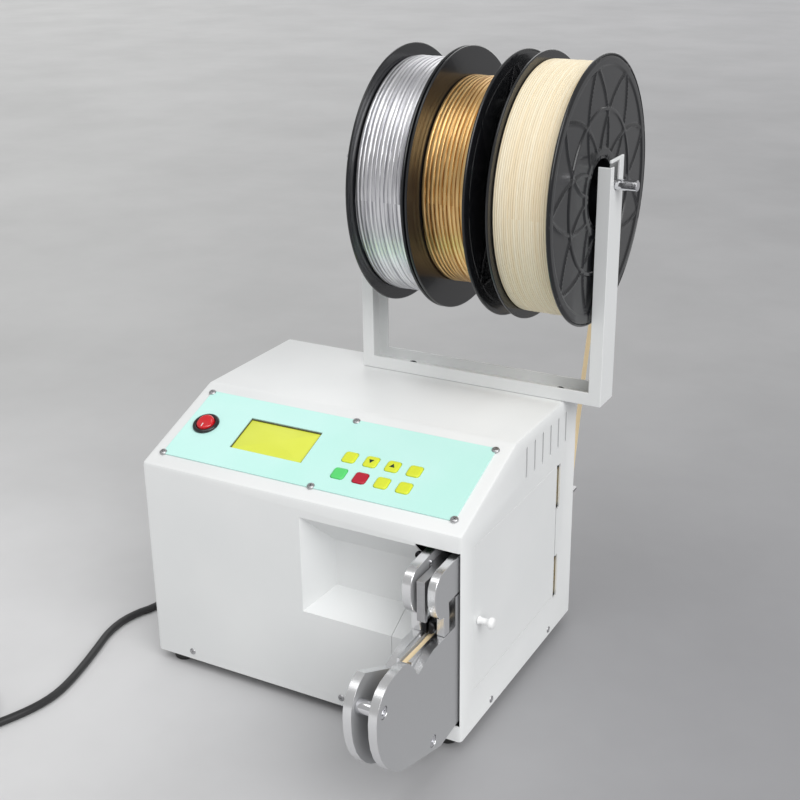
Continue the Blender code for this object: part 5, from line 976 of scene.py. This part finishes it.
def rib_pattern(radius, turn):
    """1 on a rib and 0 in a pocket: two families of ribs lean opposite ways as the radius grows,
    and rings close the pattern at the hub, at mid radius and at the rim."""
    lean = RIB_TWIST * (radius - 62) / 45
    pattern = np.zeros(np.broadcast(radius, turn).shape)
    for sign in (1, -1):
        phase = (turn * RIBS / (2 * math.pi) + sign * lean) % 1
        distance = np.minimum(phase, 1 - phase) * 2 * math.pi * radius / RIBS
        pattern = np.maximum(pattern, 1 - np.clip((distance - 0.9) / 0.9, 0, 1))
    for at, width in ((33, 2.5), (66, 1.2), (103, 3.0)):
        distance = np.abs(radius - at)
        pattern = np.maximum(pattern, 1 - np.clip((distance - width) / 0.9, 0, 1))
    return pattern


def spool_surface(left, depth, hole=None):
    """The closed profile of a spool, turned; on both outer faces the pockets go in by depth, and a
    hole in the left face is a round dip of 2.3 mm."""
    face = np.linspace(28.5, 107.0, 96)
    half = SPOOL_W / 2
    outer = [(107.6, 0.05), (108.4, 0.3), (108.9, 0.9), (109, 1.3), (108.8, 2.0), (108.2, 2.45), (50, 2.5)]
    mouth = [(27, 1.2), (27, half - 2.4), (26.6, half - 2), (13.4, half - 2), (13, half - 1.6)]
    first = [(r, 0.0) for r in face] + outer
    across = np.array(mouth[::-1] + [(27.4, 0.3)] + first)
    mirrored = across[::-1] * [1, -1] + [0, SPOOL_W]
    profile = np.vstack([across, mirrored])
    grid = lathe(profile, "X", (left, *SPOOL_AT), SPOOL_SIDES)
    turn = np.linspace(0, 2 * math.pi, SPOOL_SIDES, endpoint=False)[:, None]
    radius, along = profile[:, 0][None], profile[:, 1][None]
    flat = (radius > 28) & (radius < 107.2)
    pocket = (1 - rib_pattern(radius, turn)) * depth
    on_left = flat & (along < 1)
    grid[..., 0] += np.where(on_left, pocket, 0) - np.where(flat & (along > SPOOL_W - 1), pocket, 0)
    if hole:
        y, z, size = hole
        near = np.hypot(grid[..., 1] - y, grid[..., 2] - z)
        dip = 2.3 * (1 - np.clip((near - size) / 0.8, 0, 1))
        deeper = np.maximum(grid[..., 0], left + dip)
        grid[..., 0] = np.where(on_left & (dip > 0), deeper, grid[..., 0])
    return grid


LEFTS = {"silver": -4.0, "gold": 49.0, "cream": 118.0}
POCKETS = {"silver": 0.35, "gold": 0.35, "cream": 1.1}
HOLES = {"gold": (142.8, 433.0, 3.6)}
for reel, left in LEFTS.items():
    surface = spool_surface(left, POCKETS[reel], HOLES.get(reel))
    body, nodes = f"reel_{reel}", [f"spool_{reel}"]
    piece(body, [(surface, True, True)], FINISH["spool_plastic"], body, nodes)
print("three spools")

# %% [markdown]
# A winding is a height over the cylinder. Ribbon turns advance by one pitch a turn, so the phase is
# the distance across the spool minus the part of a turn already made. Each turn is a low crown with
# a narrow gap, and a little slow noise lifts some turns over their neighbours.

# %% Wound ribbons
CORE_R, FLANGE_GAP = 52, 2.9


def slow_wave(turn, seed, size, count=5):
    """A sum of a few sines round the spool with fixed random phases."""
    rng = np.random.default_rng(seed)
    phase = rng.uniform(0, 2 * math.pi, count)
    strength = rng.normal(0, 1, count) / np.arange(1, count + 1)
    waves = np.sin(turn[..., None] * np.arange(1, count + 1) + phase) * strength
    return size * waves.sum(-1)


def winding_surface(left, outer, pitch, gap, crown, lift, seed, across=190):
    """Radius = outer − crown · (2p−1)² − gap's depth, with p the phase inside a turn; each turn has
    its own small lift, and turns wander sideways by a slow wave."""
    rng = np.random.default_rng(seed)
    low, high = left + FLANGE_GAP, left + SPOOL_W - FLANGE_GAP
    turn = np.linspace(0, 2 * math.pi, SPOOL_SIDES, endpoint=False)[:, None]
    x = np.linspace(low, high, across)[None]
    wander = slow_wave(turn, seed, size=0.16) * pitch * 0.5
    steps = (x - low + wander) / pitch + 0.5 - turn / (2 * math.pi)
    number = np.floor(steps).astype(int)
    lifts = rng.uniform(-lift, lift, number.max() - number.min() + 2)[number - number.min()]
    phase = steps - number
    side = np.minimum(phase, 1 - phase) * pitch
    slit = 1 - np.clip(side / gap, 0, 1) ** 0.7
    ends = np.minimum(x - low, high - x)
    shoulder = np.clip(1 - ends / 1.2, 0, 1) ** 2 * 0.8
    radius = outer - crown * (2 * phase - 1) ** 2 - slit * (crown + 0.7) + lifts - shoulder - lift
    radius += slow_wave(turn + x * 0.05, seed + 7, size=0.05)

    def about_axis(radii, places):
        turned = (radii * np.cos(turn) + SPOOL_AT[0], radii * np.sin(turn) + SPOOL_AT[1])
        return np.stack(np.broadcast_arrays(places, *turned), axis=-1)

    core = about_axis(CORE_R, x[:, ::-1])[:, :: across - 1]
    return np.concatenate([about_axis(radius, x), core], axis=1)


def unroll(obj, outer, left):
    """A UV map in metres: the way round the spool, then the way across it."""
    mesh = obj.data
    layer = mesh.uv_layers.new(name="winding")
    points = np.empty(len(mesh.vertices) * 3)
    mesh.vertices.foreach_get("co", points)
    points = (points.reshape(-1, 3) - DATUM) / MM
    corners = np.empty(len(mesh.loops), int)
    mesh.loops.foreach_get("vertex_index", corners)
    turn = np.arctan2(points[:, 2] - SPOOL_AT[1], points[:, 1] - SPOOL_AT[0])[corners]
    first = np.repeat(turn.reshape(-1, 4)[:, :1], 4, axis=1).ravel()
    turn = np.where(turn - first > math.pi, turn - 2 * math.pi, turn)
    turn = np.where(first - turn > math.pi, turn + 2 * math.pi, turn)
    spread = np.stack([turn * outer * MM, (points[corners, 0] - left) * MM], axis=1)
    layer.data.foreach_set("uv", spread.ravel())


WOUND = {
    "silver": dict(outer=99.0, pitch=3.75, gap=0.55, crown=0.28, lift=0.30, seed=3),
    "gold": dict(outer=86.0, pitch=3.75, gap=0.50, crown=0.26, lift=0.28, seed=5),
    "cream": dict(outer=102.0, pitch=1.85, gap=0.28, crown=0.10, lift=0.12, seed=9),
}
for reel, sizes in WOUND.items():
    node = f"winding_{reel}"
    finish = FINISH[SLOT_OF[node]]
    surface = [(winding_surface(LEFTS[reel], **sizes), True, True)]
    wound = piece(f"ribbon_on_{reel}", surface, finish, f"reel_{reel}", [node], angle=60)
    unroll(wound, sizes["outer"], LEFTS[reel])
print("three windings")
